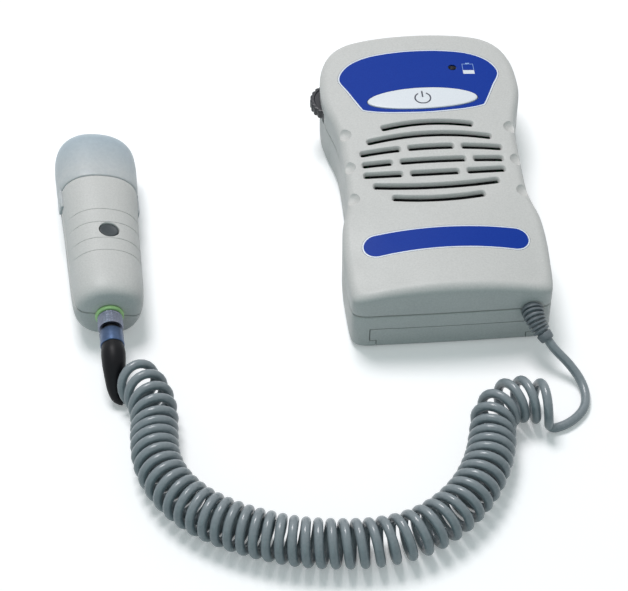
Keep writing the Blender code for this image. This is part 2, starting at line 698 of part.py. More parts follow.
def bottom_shell_body():
    rings = [plan_ring(FLOOR_FILLET, 0.0)]
    rings += fillet_rings(0.0, FLOOR_FILLET, 0.0, z_floor=0.0)
    rim = PARTING_Z - GAP / 2
    lip = LIP_SKIN + GAP
    rings.append(plan_ring(0.0, rim))
    rings.append(plan_ring(lip, rim))
    rings.append(plan_ring(lip, PARTING_Z + LIP_RISE))
    rings.append(plan_ring(SIDE_WALL, PARTING_Z + LIP_RISE))
    rings += fillet_rings(SIDE_WALL, INNER_FILLET, 0.0, FLOOR_WALL, INNER_STEPS)[::-1]
    rings.append(plan_ring(SIDE_WALL + INNER_FILLET, FLOOR_WALL))
    return loft("bottom_shell", rings)


def both_sides(points):
    return [(s * x, y) for x, y in points for s in (1, -1)]


def slot_outline(x_from, x_to, y_mid, half, sag):
    """A slot of constant width along a shallow arc, with round ends."""
    r = SLOT_W / 2
    line = []
    steps = SLOT_STEPS if x_to - x_from > half else SLOT_STEPS_SHORT
    for k in range(steps + 1):
        x = x_from + (x_to - x_from) * k / steps
        line.append(Vector((x, y_mid - sag * (x / half) ** 2)))
    upper = []
    lower = []
    for k, p in enumerate(line):
        before = line[max(k - 1, 0)]
        after = line[min(k + 1, steps)]
        along = (after - before).normalized()
        side = Vector((-along.y, along.x))
        if k == 0:
            p = p + along * r
        if k == steps:
            p = p - along * r
        if k == 0:
            upper.append(tuple(p - along * r + side * r / 2))
            lower.append(tuple(p - along * r - side * r / 2))
        upper.append(tuple(p + side * r))
        lower.append(tuple(p - side * r))
        if k == steps:
            upper.append(tuple(p + along * r + side * r / 2))
            lower.append(tuple(p + along * r - side * r / 2))
    return upper + lower[::-1]


def grille_tools():
    tools = []
    for y_mid, half, sag, bar in SLOT_ROWS:
        ends = [(-half, half)]
        if bar > 0:
            low = bar - SLOT_BAR / 2
            high = bar + SLOT_BAR / 2
            ends = [(-half, -high), (-low, low), (high, half)]
        for a, b in ends:
            outline = slot_outline(a, b, y_mid, half, sag)
            tools.append(prism("slot", outline, SLOT_BOTTOM, SLOT_TOP))
    return tools


def layer(name, outline, up_by, down_by, holes=()):
    """A thin body that follows the crowned top, from its outline and rings inside it."""
    mid_x = sum(p[0] for p in outline) / len(outline)
    mid_y = sum(p[1] for p in outline) / len(outline)

    def ring(share, lift):
        pts = [(mid_x + (x - mid_x) * share, mid_y + (y - mid_y) * share) for x, y in outline]
        return [(x, y, top_z(x, y) + lift) for x, y in pts]

    rings = [ring(s, up_by) for s in LAYER_SHARES]
    rings.append(ring(1.0, up_by))
    rings.append(ring(1.0, -down_by))
    rings += [ring(s, -down_by) for s in LAYER_SHARES[::-1]]
    high = (mid_x, mid_y, top_z(mid_x, mid_y) + up_by)
    low = (mid_x, mid_y, top_z(mid_x, mid_y) - down_by)
    return loft(name, rings, high, low)


def key_outline(more):
    step = math.tau / KEY_SEGS
    half_x = KEY_HALF[0] + more
    half_y = KEY_HALF[1] + more
    return [(half_x * math.cos(step * i), KEY_Y + half_y * math.sin(step * i))
            for i in range(KEY_SEGS)]


def strip_outline():
    """Two arched long sides and half-round ends."""
    r = STRIP_H / 2
    reach = STRIP_HALF - r
    mid = []
    for k in range(STRIP_STEPS + 1):
        x = -reach + 2 * reach * k / STRIP_STEPS
        mid.append((x, STRIP_MID_Y - STRIP_ARCH * (x / STRIP_HALF) ** 2))
    quarter = math.pi / 4
    right = [(mid[-1][0] + r * math.cos(a), mid[-1][1] + r * math.sin(a))
             for a in (-quarter, 0.0, quarter)]
    left = [(-x, y) for x, y in right[::-1]]
    lower = [(x, y - r) for x, y in mid]
    upper = [(x, y + r) for x, y in mid[::-1]]
    return lower + right + upper + left


OVERLAY_LOOP = list(OVERLAY) + [(-x, y) for x, y in OVERLAY[-2:0:-1]]
STRIP_LOOP = strip_outline()

# handset: top shell with its grille, recesses, bosses and openings
top = top_shell_body()
ring_steps = math.tau / ROUND
collar = []
for radius, lift in ((RING_OUT, 0), (RING_OUT, 1), (RING_IN, 1), (RING_IN, 0)):
    row = []
    for px, py in circle(0.0, SPEAKER_Y, radius, ROUND):
        row.append((px, py, top_z(px, py) - TOP_WALL + BITE if lift else RING_BOTTOM))
    collar.append(row)
ring_verts = [p for row in collar for p in row]
ring_faces = []
for k in range(len(collar)):
    for i in range(ROUND):
        j = (i + 1) % ROUND
        a = k * ROUND
        b = (k + 1) % len(collar) * ROUND
        ring_faces.append([a + i, a + j, b + j, b + i])
inside = [new_mesh("ring", ring_verts, ring_faces)]
for at in both_sides(CASE_POSTS):
    inside.append(rod("boss", at, CASE_HIGH_R, CASE_HIGH_Z))
key_post_z = (KEY_BOARD_Z + BOARD_T + GAP, KEY_POST_TOP)
for at in both_sides(KEY_POSTS):
    inside.append(rod("post", at, KEY_POST_R, key_post_z, TINY_ROUND))
add(top, joined("inside", inside))
holes = [rod("hole", at, CASE_HOLE_R, (0.0, CASE_HOLE_TOP), TINY_ROUND)
         for at in both_sides(CASE_POSTS)]
holes += [rod("hole", at, KEY_HOLE_R, (0.0, KEY_HOLE_TOP), TINY_ROUND)
          for at in KEY_SCREWS]
holes += grille_tools()
cut(top, joined("holes", holes))
scoops = []
for sign in (1, -1):
    for y in SCALLOP_YS:
        bpy.ops.mesh.primitive_uv_sphere_add(
            segments=SMALL_ROUND, ring_count=TINY_ROUND, radius=SCALLOP_R,
            location=(sign * SCALLOP_X, y, SCALLOP_Z))
        scoops.append(bpy.context.object)
bpy.context.view_layer.update()
cut(top, joined("scoops", scoops))
recesses = [layer("recess", grown(OVERLAY_LOOP, GAP), HEIGHT, RECESS_DEEP)]
recesses.append(layer("recess", grown(STRIP_LOOP, GAP), HEIGHT, RECESS_DEEP))
cut(top, joined("recesses", recesses))
ports = [prism("port", key_outline(GAP), RING_BOTTOM, HEIGHT + TOP_WALL)]
ports.append(rod("port", LED_AT, LED_R + GAP, (RING_BOTTOM, HEIGHT + TOP_WALL)))
cut(top, joined("ports", ports))
wheel_ys = (WHEEL_AT[1] - WHEEL_SLOT_HALF, WHEEL_AT[1] + WHEEL_SLOT_HALF)
cut(top, box("slot", WHEEL_SLOT_X, wheel_ys, (0.0, WHEEL_SLOT_TOP)))


def along_y(x, z):
    return lambda u, v, h: (x + u, h, z + v)


def outlet_tool():
    profile = ((0.0, -FAR), (OUTLET_HOLE_R, -FAR), (OUTLET_HOLE_R, RIB_Y[1] + BATTERY_Y[1] / 2),
               (0.0, RIB_Y[1] + BATTERY_Y[1] / 2))
    return turned("outlet", profile, along_y(*OUTLET), SMALL_ROUND)


cut(top, outlet_tool())
finish(top, "top_shell", SHELL)

# handset: bottom shell and battery door come from one body
low = bottom_shell_body()


def door_outline(more):
    return [(-DOOR_LOW_X - more, -HEIGHT), (DOOR_LOW_X + more, -HEIGHT),
            (DOOR_LOW_X + more, DOOR_STEP_Z - more), (DOOR_HIGH_X + more, DOOR_STEP_Z - more),
            (DOOR_HIGH_X + more, DOOR_TOP_Z + more), (-DOOR_HIGH_X - more, DOOR_TOP_Z + more),
            (-DOOR_HIGH_X - more, DOOR_STEP_Z - more), (-DOOR_LOW_X - more, DOOR_STEP_Z - more)]


def door_tool(more):
    front = [(x, -FAR, z) for x, z in door_outline(more)]
    back = [(x, DOOR_BACK_Y + more, z) for x, z in door_outline(more)]
    return loft("door_tool", [front, back])


door = keep(copy_of(low, "door"), door_tool(0.0))
cut(low, door_tool(GAP))
ribs = []
for s in (1, -1):
    ribs.append(box("rib", sorted((s * RIB_X[0], s * RIB_X[1])), RIB_Y, RIB_Z))
add(door, joined("ribs", ribs))
tongues = []
for s in (1, -1):
    xs = sorted((s * (RIB_X[0] + BITE), s * TONGUE_X))
    tongues.append(box("tongue", xs, (RIB_Y[0] + BITE, RIB_Y[1] - BITE), TONGUE_Z))
add(door, joined("tongues", tongues))
finish(door, "battery_door", SHELL, (0.0, -HALF_L, 0.0))

fill = [box("wall", (-WALL_X, WALL_X), WALL_Y, WALL_Z)]
for s in (1, -1):
    fill.append(box("rail", sorted((s * RAIL_X[0], s * RAIL_X[1])), RAIL_Y, RAIL_Z))
for at in both_sides(CASE_POSTS):
    fill.append(rod("boss", at, CASE_LOW_R, (FLOOR_WALL / 2, CASE_LOW_TOP)))
for at in both_sides(MAIN_POSTS):
    fill.append(rod("post", at, MAIN_POST_R, (FLOOR_WALL / 2, MAIN_Z - GAP), SMALL_ROUND))
add(low, joined("fill", fill))
holes = []
for at in both_sides(CASE_POSTS):
    holes.append(rod("hole", at, CASE_HOLE_R, (CASE_COUNTER_Z - BITE, HEIGHT), TINY_ROUND))
for at in MAIN_SCREWS:
    holes.append(rod("hole", at, MAIN_HOLE_R, (MAIN_HOLE_BOTTOM, HEIGHT), TINY_ROUND))
cut(low, joined("holes", holes))
holes = [rod("sink", at, CASE_COUNTER_R, (-HEIGHT, CASE_COUNTER_Z)) for at in both_sides(CASE_POSTS)]
cut(low, joined("sinks", holes))
notch_ys = (WHEEL_AT[1] - WHEEL_NOTCH_HALF, WHEEL_AT[1] + WHEEL_NOTCH_HALF)
cut(low, box("notch", WHEEL_SLOT_X, notch_ys, (WHEEL_NOTCH_Z, HEIGHT)))
cut(low, outlet_tool())
finish(low, "bottom_shell", SHELL)

# blue overlay, strip and power key
overlay = layer("overlay", OVERLAY_LOOP, 0.0, OVERLAY_T)
ports = [prism("port", key_outline(GAP), RING_BOTTOM, HEIGHT + TOP_WALL)]
ports.append(rod("port", LED_AT, LED_R + GAP, (RING_BOTTOM, HEIGHT + TOP_WALL)))
cut(overlay, joined("ports", ports))
finish(overlay, "keypad_overlay", BLUE)
finish(layer("strip", STRIP_LOOP, 0.0, OVERLAY_T), "badge_strip", BLUE)


def key_body():
    def ring(more, share, lift):
        pts = [(x * share, KEY_Y + (y - KEY_Y) * share) for x, y in key_outline(more)]
        return [(x, y, top_z(x, y) + lift) for x, y in pts]

    flange_top = -TOP_WALL - GAP
    flange_low = flange_top - KEY_FLANGE_T
    rings = [ring(0.0, s, KEY_PROUD) for s in KEY_SHARES]
    rings.append(ring(-KEY_PROUD, 1.0, KEY_PROUD))
    rings.append(ring(0.0, 1.0, 0.0))
    rings.append(ring(0.0, 1.0, flange_top))
    rings.append(ring(KEY_FLANGE, 1.0, flange_top))
    rings.append(ring(KEY_FLANGE, 1.0, flange_low))
    rings += [ring(KEY_FLANGE, s, flange_low) for s in KEY_SHARES]
    peak = top_z(0.0, KEY_Y)
    return loft("key", rings, (0.0, KEY_Y, peak + KEY_PROUD), (0.0, KEY_Y, peak + flange_low))


finish(key_body(), "power_button", WHITE, (0.0, KEY_Y, HEIGHT))
key_at = (0.0, KEY_Y)
finish(rod("plunger", key_at, PLUNGER_R, PLUNGER_Z), "switch_plunger", BLACK,
       (0.0, KEY_Y, PLUNGER_Z[1]))
switch = box("switch", (-SWITCH_HALF, SWITCH_HALF), (KEY_Y - SWITCH_HALF, KEY_Y + SWITCH_HALF),
             SWITCH_Z)
cut(switch, rod("bore", key_at, PLUNGER_R + GAP, (0.0, HEIGHT)))
finish(switch, "power_switch", METAL)

key_board = box("board", (-KEY_BOARD_X, KEY_BOARD_X), KEY_BOARD_Y,
                (KEY_BOARD_Z, KEY_BOARD_Z + BOARD_T))
holes = [rod("hole", at, KEY_HOLE_R, (0.0, HEIGHT), TINY_ROUND) for at in KEY_SCREWS]
cut(key_board, joined("holes", holes))
finish(key_board, "key_board", BOARD)


def screw(at, low_z, head_z, top_z_at, shank_r, head_r):
    """A screw with its head below, between head_z and low_z, and its shank upward."""
    profile = ((0.0, low_z), (head_r, low_z), (head_r, head_z), (shank_r, head_z),
               (shank_r, top_z_at), (0.0, top_z_at))
    return turned("screw", profile, upright(*at), TINY_ROUND)


key_seat = KEY_BOARD_Z - GAP
for k, at in enumerate(KEY_SCREWS):
    body = screw(at, key_seat - KEY_HEAD_T, key_seat, KEY_SCREW_TOP, KEY_SCREW_R, KEY_HEAD_R)
    finish(body, "key_screw_%d" % (k + 1), STEEL)
led_low = KEY_BOARD_Z + BOARD_T + GAP
led = ((0.0, led_low), (LED_FLANGE_R, led_low), (LED_FLANGE_R, led_low + LED_FLANGE_T),
       (LED_R, led_low + LED_FLANGE_T), (LED_R, LED_TOP - LED_R / 2),
       (LED_R * math.sqrt(0.5), LED_TOP - LED_R / 4), (0.0, LED_TOP))
finish(turned("led", led, upright(*LED_AT), SMALL_ROUND), "low_battery_led", AMBER)

# volume wheel and its pot
wheel = []
for i in range(WHEEL_RIDGES * 2):
    turn = math.tau * i / (WHEEL_RIDGES * 2)
    r = WHEEL_R - (WHEEL_RIDGE if i % 2 else 0.0)
    wheel.append((WHEEL_AT[0] + r * math.cos(turn), WHEEL_AT[1] + r * math.sin(turn)))
wheel_body = prism("wheel", wheel, *WHEEL_Z)
cut(wheel_body, rod("bore", WHEEL_AT, WHEEL_BORE, (0.0, HEIGHT)))
finish(wheel_body, "volume_wheel", BLACK, (WHEEL_AT[0], WHEEL_AT[1], WHEEL_Z[0]))
pot = box("pot", (WHEEL_AT[0] - POT_HALF[0], WHEEL_AT[0] + POT_HALF[0]),
          (WHEEL_AT[1] - POT_HALF[1], WHEEL_AT[1] + POT_HALF[1]), POT_Z)
add(pot, rod("shaft", WHEEL_AT, POT_SHAFT_R, (POT_Z[1] - BITE, POT_SHAFT_TOP)))
finish(pot, "volume_pot", METAL)

# main board
edge = [(x, y) for x, y, z in plan_ring(MAIN_INSET, 0.0)]


def clipped(outline, limit, sign):
    """Keeps the side of an outline where sign * y is below sign * limit."""
    out = []
    for i, b in enumerate(outline):
        a = outline[i - 1]
        inside_a = sign * a[1] <= sign * limit
        inside_b = sign * b[1] <= sign * limit
        if inside_a != inside_b:
            t = (limit - a[1]) / (b[1] - a[1])
            out.append((a[0] + (b[0] - a[0]) * t, limit))
        if inside_b:
            out.append(b)
    return out


edge = clipped(clipped(edge, MAIN_Y[1], 1), MAIN_Y[0], -1)
main = prism("main", edge, MAIN_Z, MAIN_Z + MAIN_T)
holes = [rod("hole", at, MAIN_HOLE_R, (0.0, HEIGHT), TINY_ROUND) for at in MAIN_SCREWS]
cut(main, joined("holes", holes))
finish(main, "main_board", BOARD)
chip_z = MAIN_Z + MAIN_T + GAP
finish(box("chip", CHIP[0], CHIP[1], (chip_z, chip_z + CHIP[2])), "audio_chip", BLACK)
finish(box("part", TRANSFORMER[0], TRANSFORMER[1], (chip_z, chip_z + TRANSFORMER[2])),
       "transformer", STEEL)
seat = MAIN_Z + MAIN_T + GAP
for k, at in enumerate(MAIN_SCREWS):
    profile = ((0.0, MAIN_SCREW_BOTTOM), (MAIN_SCREW_R, MAIN_SCREW_BOTTOM), (MAIN_SCREW_R, seat),
               (MAIN_HEAD_R, seat), (MAIN_HEAD_R, seat + MAIN_HEAD_T), (0.0, seat + MAIN_HEAD_T))
    body = turned("screw", profile, upright(*at), TINY_ROUND)
    finish(body, "board_screw_%d" % (k + 1), STEEL)
seat = CASE_COUNTER_Z - GAP
for k, at in enumerate(both_sides(CASE_POSTS)):
    body = screw(at, seat - CASE_HEAD_T, seat, CASE_SHANK_TOP, CASE_SHANK_R, CASE_HEAD_R)
    finish(body, "case_screw_%d" % (k + 1), STEEL)

# speaker
speaker = upright(0.0, SPEAKER_Y)
finish(rod("screen", (0.0, SPEAKER_Y), SCREEN_R, SCREEN_Z, ROUND), "speaker_screen", PAPER)
finish(turned("basket", BASKET, speaker), "speaker_frame", STEEL)
finish(turned("cone", CONE, speaker), "speaker_cone", PAPER)
finish(rod("magnet", (0.0, SPEAKER_Y), MAGNET_R, MAGNET_Z, ROUND), "speaker_magnet", STEEL)

# battery and snap
battery = box("battery", BATTERY_X, BATTERY_Y, BATTERY_Z)


def along_x(y, z):
    return lambda u, v, h: (h, y + u, z + v)


def stud(r, x_from, x_to, y):
    profile = ((0.0, x_from), (r, x_from), (r, x_to), (0.0, x_to))
    return turned("stud", profile, along_x(y, STUD_Z), SMALL_ROUND)


studs = [stud(r, BATTERY_X[1] - BITE, STUD_END_X, y) for y, r in STUDS]
add(battery, joined("studs", studs))
finish(battery, "battery", JACKET)
snap = box("snap", SNAP_X, SNAP_Y, SNAP_Z)
bores = [stud(r + SNAP_BORE_CLEAR, 0.0, STUD_END_X + GAP, y) for y, r in STUDS]
cut(snap, joined("bores", bores))
finish(snap, "battery_snap", BLACK)


def frame_along(path, k):
    """Two directions square to a path at one of its points."""
    a = path[max(k - 1, 0)]
    b = path[min(k + 1, len(path) - 1)]
    ahead = (b - a).normalized()
    side = ahead.cross(Vector((0.0, 0.0, 1.0))).normalized()
    return side, side.cross(ahead)


def swept(name, path, radii, segs, ahead_first=None):
    """A round body along a path with its own radius at each point."""
    rings = []
    for k, p in enumerate(path):
        side, up = frame_along(path, k)
        if k == 0 and ahead_first is not None:
            side = ahead_first.cross(Vector((0.0, 0.0, 1.0))).normalized()
            up = side.cross(ahead_first)
        step = math.tau / segs
        rings.append([tuple(p + side * (radii[k] * math.cos(step * i))
                            + up * (radii[k] * math.sin(step * i))) for i in range(segs)])
    return loft(name, rings)


# strain relief: neck with a flange inside, ribs outside
def resample(path, count):
    """Points at even steps along a path."""
    runs = [0.0]
    for a, b in zip(path, path[1:]):
        runs.append(runs[-1] + (b - a).length)
    out = []
    for k in range(count):
        s = runs[-1] * k / (count - 1)
        i = 0
        while i < len(runs) - 2 and runs[i + 1] < s:
            i += 1
        out.append(path[i].lerp(path[i + 1], (s - runs[i]) / (runs[i + 1] - runs[i])))
    return out


per_rib = 3
line = resample(smooth_route(BOOT_ROUTE, 12), BOOT_RIBS * per_rib + 1)
wide = []
for k in range(len(line)):
    share = k / (len(line) - 1)
    outer = BOOT_RIB_R[0] + (BOOT_RIB_R[1] - BOOT_RIB_R[0]) * share
    groove = k % per_rib == 2
    wide.append(outer - BOOT_GROOVE if groove else outer)
wide[-1] = BOOT_COLLAR_R
boot = swept("boot", line, wide, SMALL_ROUND, Vector((0.0, -1.0, 0.0)))
neck = ((0.0, OUTLET_FLANGE_Y[0]), (OUTLET_FLANGE_R, OUTLET_FLANGE_Y[0]),
        (OUTLET_FLANGE_R, OUTLET_FLANGE_Y[1]), (OUTLET_NECK_R, OUTLET_FLANGE_Y[1]),
        (OUTLET_NECK_R, OUTLET_START_Y - BITE), (0.0, OUTLET_START_Y - BITE))
add(boot, turned("neck", neck, along_y(*OUTLET), SMALL_ROUND))
finish(boot, "cord_boot", CORD)


# curly cord
def axis_line():
    return [(p.x, p.y) for p in smooth_route(COIL_AXIS, AXIS_STEPS)]


AXIS = axis_line()
RUNS = [0.0]
for a, b in zip(AXIS, AXIS[1:]):
    RUNS.append(RUNS[-1] + math.dist(a, b))


def axis_at(s):
    s = min(RUNS[-1], max(0.0, s))
    i = 0
    j = len(RUNS) - 1
    while j - i > 1:
        m = (i + j) // 2
        if RUNS[m] <= s:
            i = m
        else:
            j = m
    t = (s - RUNS[i]) / (RUNS[j] - RUNS[i])
    return (AXIS[i][0] + (AXIS[j][0] - AXIS[i][0]) * t, AXIS[i][1] + (AXIS[j][1] - AXIS[i][1]) * t)


def heading(s, reach):
    a = axis_at(s - reach)
    b = axis_at(s + reach)
    return math.atan2(b[1] - a[1], b[0] - a[0])


def lean(s):
    u = min(1.0, max(0.0, s / COIL_LEAN_RUN))
    return COIL_LEAN * (1 - u) * (1 - u) * (1 + 2 * u)


def coil_points():
    """The middle line of the curls: right-handed turns standing on the table."""
    pts = []
    turns = []
    s = 0.0
    q = math.radians(COIL_START_DEG)
    middle = WIRE_R + WIRE_REST + COIL_R
    while s < RUNS[-1]:
        th = heading(s, COIL_CHORD)
        turn = heading(s + COIL_STEP, COIL_CHORD) - heading(s - COIL_STEP, COIL_CHORD)
        turn = (turn + math.pi) % math.tau - math.pi
        bend = abs(turn) / (COIL_STEP * 2)
        off = heading(s, COIL_STEP) - th
        x, y = axis_at(s)
        across = COIL_R * math.cos(q)
        along = -lean(s) * math.sin(q)
        pts.append(Vector((x - math.sin(th) * across + math.cos(th) * along,
                           y + math.cos(th) * across + math.sin(th) * along,
                           middle + COIL_R * math.sin(q))))
        turns.append(q)
        slope = (lean(s + COIL_STEP) - lean(max(0.0, s - COIL_STEP))) / (COIL_STEP * 2)
        room = math.cos(off) - COIL_R * bend + slope * COIL_LEAN_SHARE
        spread = (s / RUNS[-1] - COIL_OPEN_AT_SHARE) / COIL_OPEN_WIDE_SHARE
        opened = 1 + COIL_OPEN_SHARE * math.exp(-spread * spread)
        pitch = (WIRE_R * 2 + COIL_GAP) / max(COIL_LEAST_COS, room) * opened
        s += pitch / COIL_PER_TURN
        q += math.tau / COIL_PER_TURN
    want = COIL_END_DEG / 360
    while abs((turns[-1] / math.tau - want + 0.5) % 1 - 0.5) * COIL_PER_TURN > 0.5:
        pts.pop()
        turns.pop()
    return pts


def tube(name, pts, mat):
    """A round cord along the points, with flat ends."""
    data = bpy.data.curves.new(name, "CURVE")
    data.dimensions = "3D"
    data.bevel_depth = WIRE_R
    data.bevel_resolution = WIRE_RES
    data.use_fill_caps = True
    spline = data.splines.new("POLY")
    spline.points.add(len(pts) - 1)
    for knot, p in zip(spline.points, pts):
        knot.co = (p.x, p.y, p.z, 1.0)
    obj = bpy.data.objects.new(name, data)
    bpy.context.scene.collection.objects.link(obj)
    data.materials.append(COLOURS[mat])
    return obj


def least_gap(first, second, skip=0):
    """The least distance between two lines, less their radii; skip leaves out near neighbours."""
    best = FAR
    for i in range(len(first) - 1):
        a = first[i]
        b = first[i + 1]
        for share in (0.0, 0.25, 0.5, 0.75):
            p = a.lerp(b, share)
            for j in range(i + skip if skip else 0, len(second) - 1):
                c = second[j]
                if (c - p).length > best + WIRE_R * 6:
                    continue
                d = second[j + 1] - c
                t = min(1.0, max(0.0, (p - c).dot(d) / d.length_squared))
                best = min(best, (c + d * t - p).length)
    return best


coil = coil_points()
lead_ahead = Vector(LEAD_AHEAD).normalized()
tip = Vector(PLUG_ROUTE[-1]) + lead_ahead * PLUG_END
near = [tip + lead_ahead * GAP, tip + lead_ahead * (GAP + WIRE_R * 2)]
lead = near[:1] + smooth_route(near[1:] + list(LEAD_ROUTE) + [coil[0]], ROUTE_STEPS)[:-1]
exit_ahead = (line[-1] - line[-2]).normalized()
near = [line[-1] + exit_ahead * (GAP + WIRE_R * 2), line[-1] + exit_ahead * GAP]
tail = smooth_route([coil[-1]] + list(TAIL_ROUTE) + near[:1], ROUTE_STEPS)[1:] + near[1:]
coil_gap = least_gap(coil, coil, COIL_PER_TURN // 2 + 1) - WIRE_R * 2
print("curls", len(coil) / COIL_PER_TURN, "least gap mm", round(coil_gap / MM, 2))
whole = lead + coil + tail
tube("curly_cord", whole, CORD)
plug_line = smooth_route(PLUG_ROUTE, ROUTE_STEPS) + [tip]
plug_radii = [r.x for r in smooth_route([(r, 0.0, 0.0) for r in PLUG_BOOT_R], ROUTE_STEPS)]
plug_radii.append(plug_radii[-1])
boot_gap = FAR
for p, r in zip(plug_line, plug_radii):
    for a in coil[:COIL_PER_TURN * 4]:
        boot_gap = min(boot_gap, (a - p).length - r - WIRE_R)
print("boot to curls mm", round(boot_gap / MM, 2))
print("lead to curls mm", round((least_gap(lead[:-2], coil[COIL_PER_TURN // 2:]) - WIRE_R * 2) / MM, 2))
print("tail to curls mm",
      round((least_gap(tail[1:], coil[:-COIL_PER_TURN // 2 + 1]) - WIRE_R * 2) / MM, 2))
cord_run = sum((b - a).length for a, b in zip(whole, whole[1:]))
print("cord length mm", round(cord_run / MM))

# probe
yaw = Matrix.Rotation(math.radians(PROBE_YAW_DEG), 4, "Z")
roll = Matrix.Rotation(math.radians(PROBE_ROLL_DEG), 4, "Y")
PROBE = Matrix.Translation(PROBE_AT) @ yaw @ roll


def section(y, a, b):
    """One rounded-square ring across the probe."""
    ring = []
    for i in range(SECTION_SEGS):
        turn = math.tau * i / SECTION_SEGS
        c = math.cos(turn)
        s = math.sin(turn)
        power = 2 / SECTION_POWER
        ring.append((a * math.copysign(abs(c) ** power, c), y,
                     b * math.copysign(abs(s) ** power, s)))
    return ring


def barrel(name, rows, last=None):
    return loft(name, [section(*row) for row in rows], None, last)


def probe_piece(obj, name, mat, at=(0.0, 0.0, 0.0)):
    obj.data.transform(PROBE)
    return finish(obj, name, mat, PROBE @ Vector(at))


def along_probe(x, z):
    return lambda u, v, h: (x + u, h, z + v)


probe_axis = along_probe(0.0, 0.0)


def plain_rod(r, ys, segs=ROUND, x=0.0, z=0.0):
    profile = ((0.0, ys[0]), (r, ys[0]), (r, ys[1]), (0.0, ys[1]))
    return turned("rod", profile, along_probe(x, z), segs)


hull = barrel("hull", PROBE_OUT)
cut(hull, barrel("hollow", PROBE_IN))
cut(hull, plain_rod(PORT_HOLE_R, (-FAR, PROBE_IN[1][0])))
slots = [box("slot", sorted((s * TAB_SLOT_X[0], s * TAB_SLOT_X[1])), TAB_SLOT_Y,
             (-TAB_SLOT_HALF_Z, TAB_SLOT_HALF_Z)) for s in (1, -1)]
cut(hull, joined("slots", slots))
upper = keep(copy_of(hull, "upper"),
             box("half", (-FAR, FAR), (-FAR, FAR * 2), (GAP / 2, FAR)))
lower = keep(hull, box("half", (-FAR, FAR), (-FAR, FAR * 2), (-FAR, -GAP / 2)))


def push_outline(more):
    step = math.tau / PUSH_SEGS
    half_x = PUSH_HALF[0] + more
    half_y = PUSH_HALF[1] + more
    return [(half_x * math.cos(step * i), PUSH_Y + half_y * math.sin(step * i))
            for i in range(PUSH_SEGS)]


cut(upper, prism("hole", push_outline(GAP), 0.0, FAR))
probe_piece(upper, "probe_top_shell", SHELL)
posts = [rod("post", at, PROBE_POST_R, PROBE_POST_Z) for at in PROBE_POSTS]
add(lower, joined("posts", posts))
holes = [rod("hole", at, PROBE_HOLE_R, (PROBE_HOLE_Z, 0.0), TINY_ROUND) for at in PROBE_POSTS]
cut(lower, joined("holes", holes))
probe_piece(lower, "probe_bottom_shell", SHELL)

cap = barrel("cap", CAP_OUT)
tabs = [box("tab", sorted((s * TAB_X[0], s * TAB_X[1])), TAB_Y, (-TAB_HALF_Z, TAB_HALF_Z))
        for s in (1, -1)]
add(cap, joined("tabs", tabs))
cut(cap, barrel("hollow", CAP_IN))
probe_piece(cap, "probe_cap", CAP, (0.0, CAP_OUT[0][0], 0.0))

push = prism("push", push_outline(0.0), PUSH_FLANGE_Z[1] - BITE, PUSH_TOP)
add(push, prism("flange", push_outline(PUSH_FLANGE), *PUSH_FLANGE_Z))
add(push, rod("stem", (0.0, PUSH_Y), PUSH_STEM_R, (PUSH_STEM_BOTTOM, PUSH_FLANGE_Z[0] + GAP),
              TINY_ROUND))
probe_piece(push, "probe_button", BLACK, (0.0, PUSH_Y, PUSH_TOP))
board_top = PROBE_BOARD_Z[1] + GAP
probe_piece(box("switch", (-PUSH_SWITCH_HALF, PUSH_SWITCH_HALF),
                (PUSH_Y - PUSH_SWITCH_HALF, PUSH_Y + PUSH_SWITCH_HALF),
                (board_top, PUSH_SWITCH_TOP)), "button_switch", METAL)
board = box("board", (-PROBE_BOARD_HALF, PROBE_BOARD_HALF), PROBE_BOARD_Y, PROBE_BOARD_Z)
holes = [rod("hole", at, PROBE_HOLE_R, (-FAR, 0.0), TINY_ROUND) for at in PROBE_POSTS]
cut(board, joined("holes", holes))
probe_piece(board, "probe_board", BOARD)
for k, at in enumerate(PROBE_POSTS):
    profile = ((0.0, PROBE_SCREW_Z), (PROBE_SCREW_R, PROBE_SCREW_Z), (PROBE_SCREW_R, board_top),
               (PROBE_HEAD_R, board_top), (PROBE_HEAD_R, board_top + PROBE_HEAD_T),
               (0.0, board_top + PROBE_HEAD_T))
    body = turned("screw", profile, upright(*at), TINY_ROUND)
    probe_piece(body, "probe_screw_%d" % (k + 1), STEEL)
probe_piece(turned("housing", HOUSING, probe_axis), "transducer_housing", METAL)
probe_piece(plain_rod(BACKING_R, BACKING_Y), "transducer_backing", BLACK)
for s, node in ((1, "crystal_sender"), (-1, "crystal_receiver")):
    disc = plain_rod(CRYSTAL_R, CRYSTAL_Y)
    side = sorted((s * CRYSTAL_SPLIT, s * FAR))
    keep(disc, box("half", side, (-FAR, FAR * 2), (-FAR, FAR)))
    probe_piece(disc, node, CERAMIC)
probe_piece(turned("lens", LENS, probe_axis), "transducer_lens", LENS_MAT)
probe_piece(turned("socket", SOCKET, probe_axis), "probe_socket", BLACK)
probe_piece(turned("ring", GREEN_RING, probe_axis), "socket_ring", GREEN)

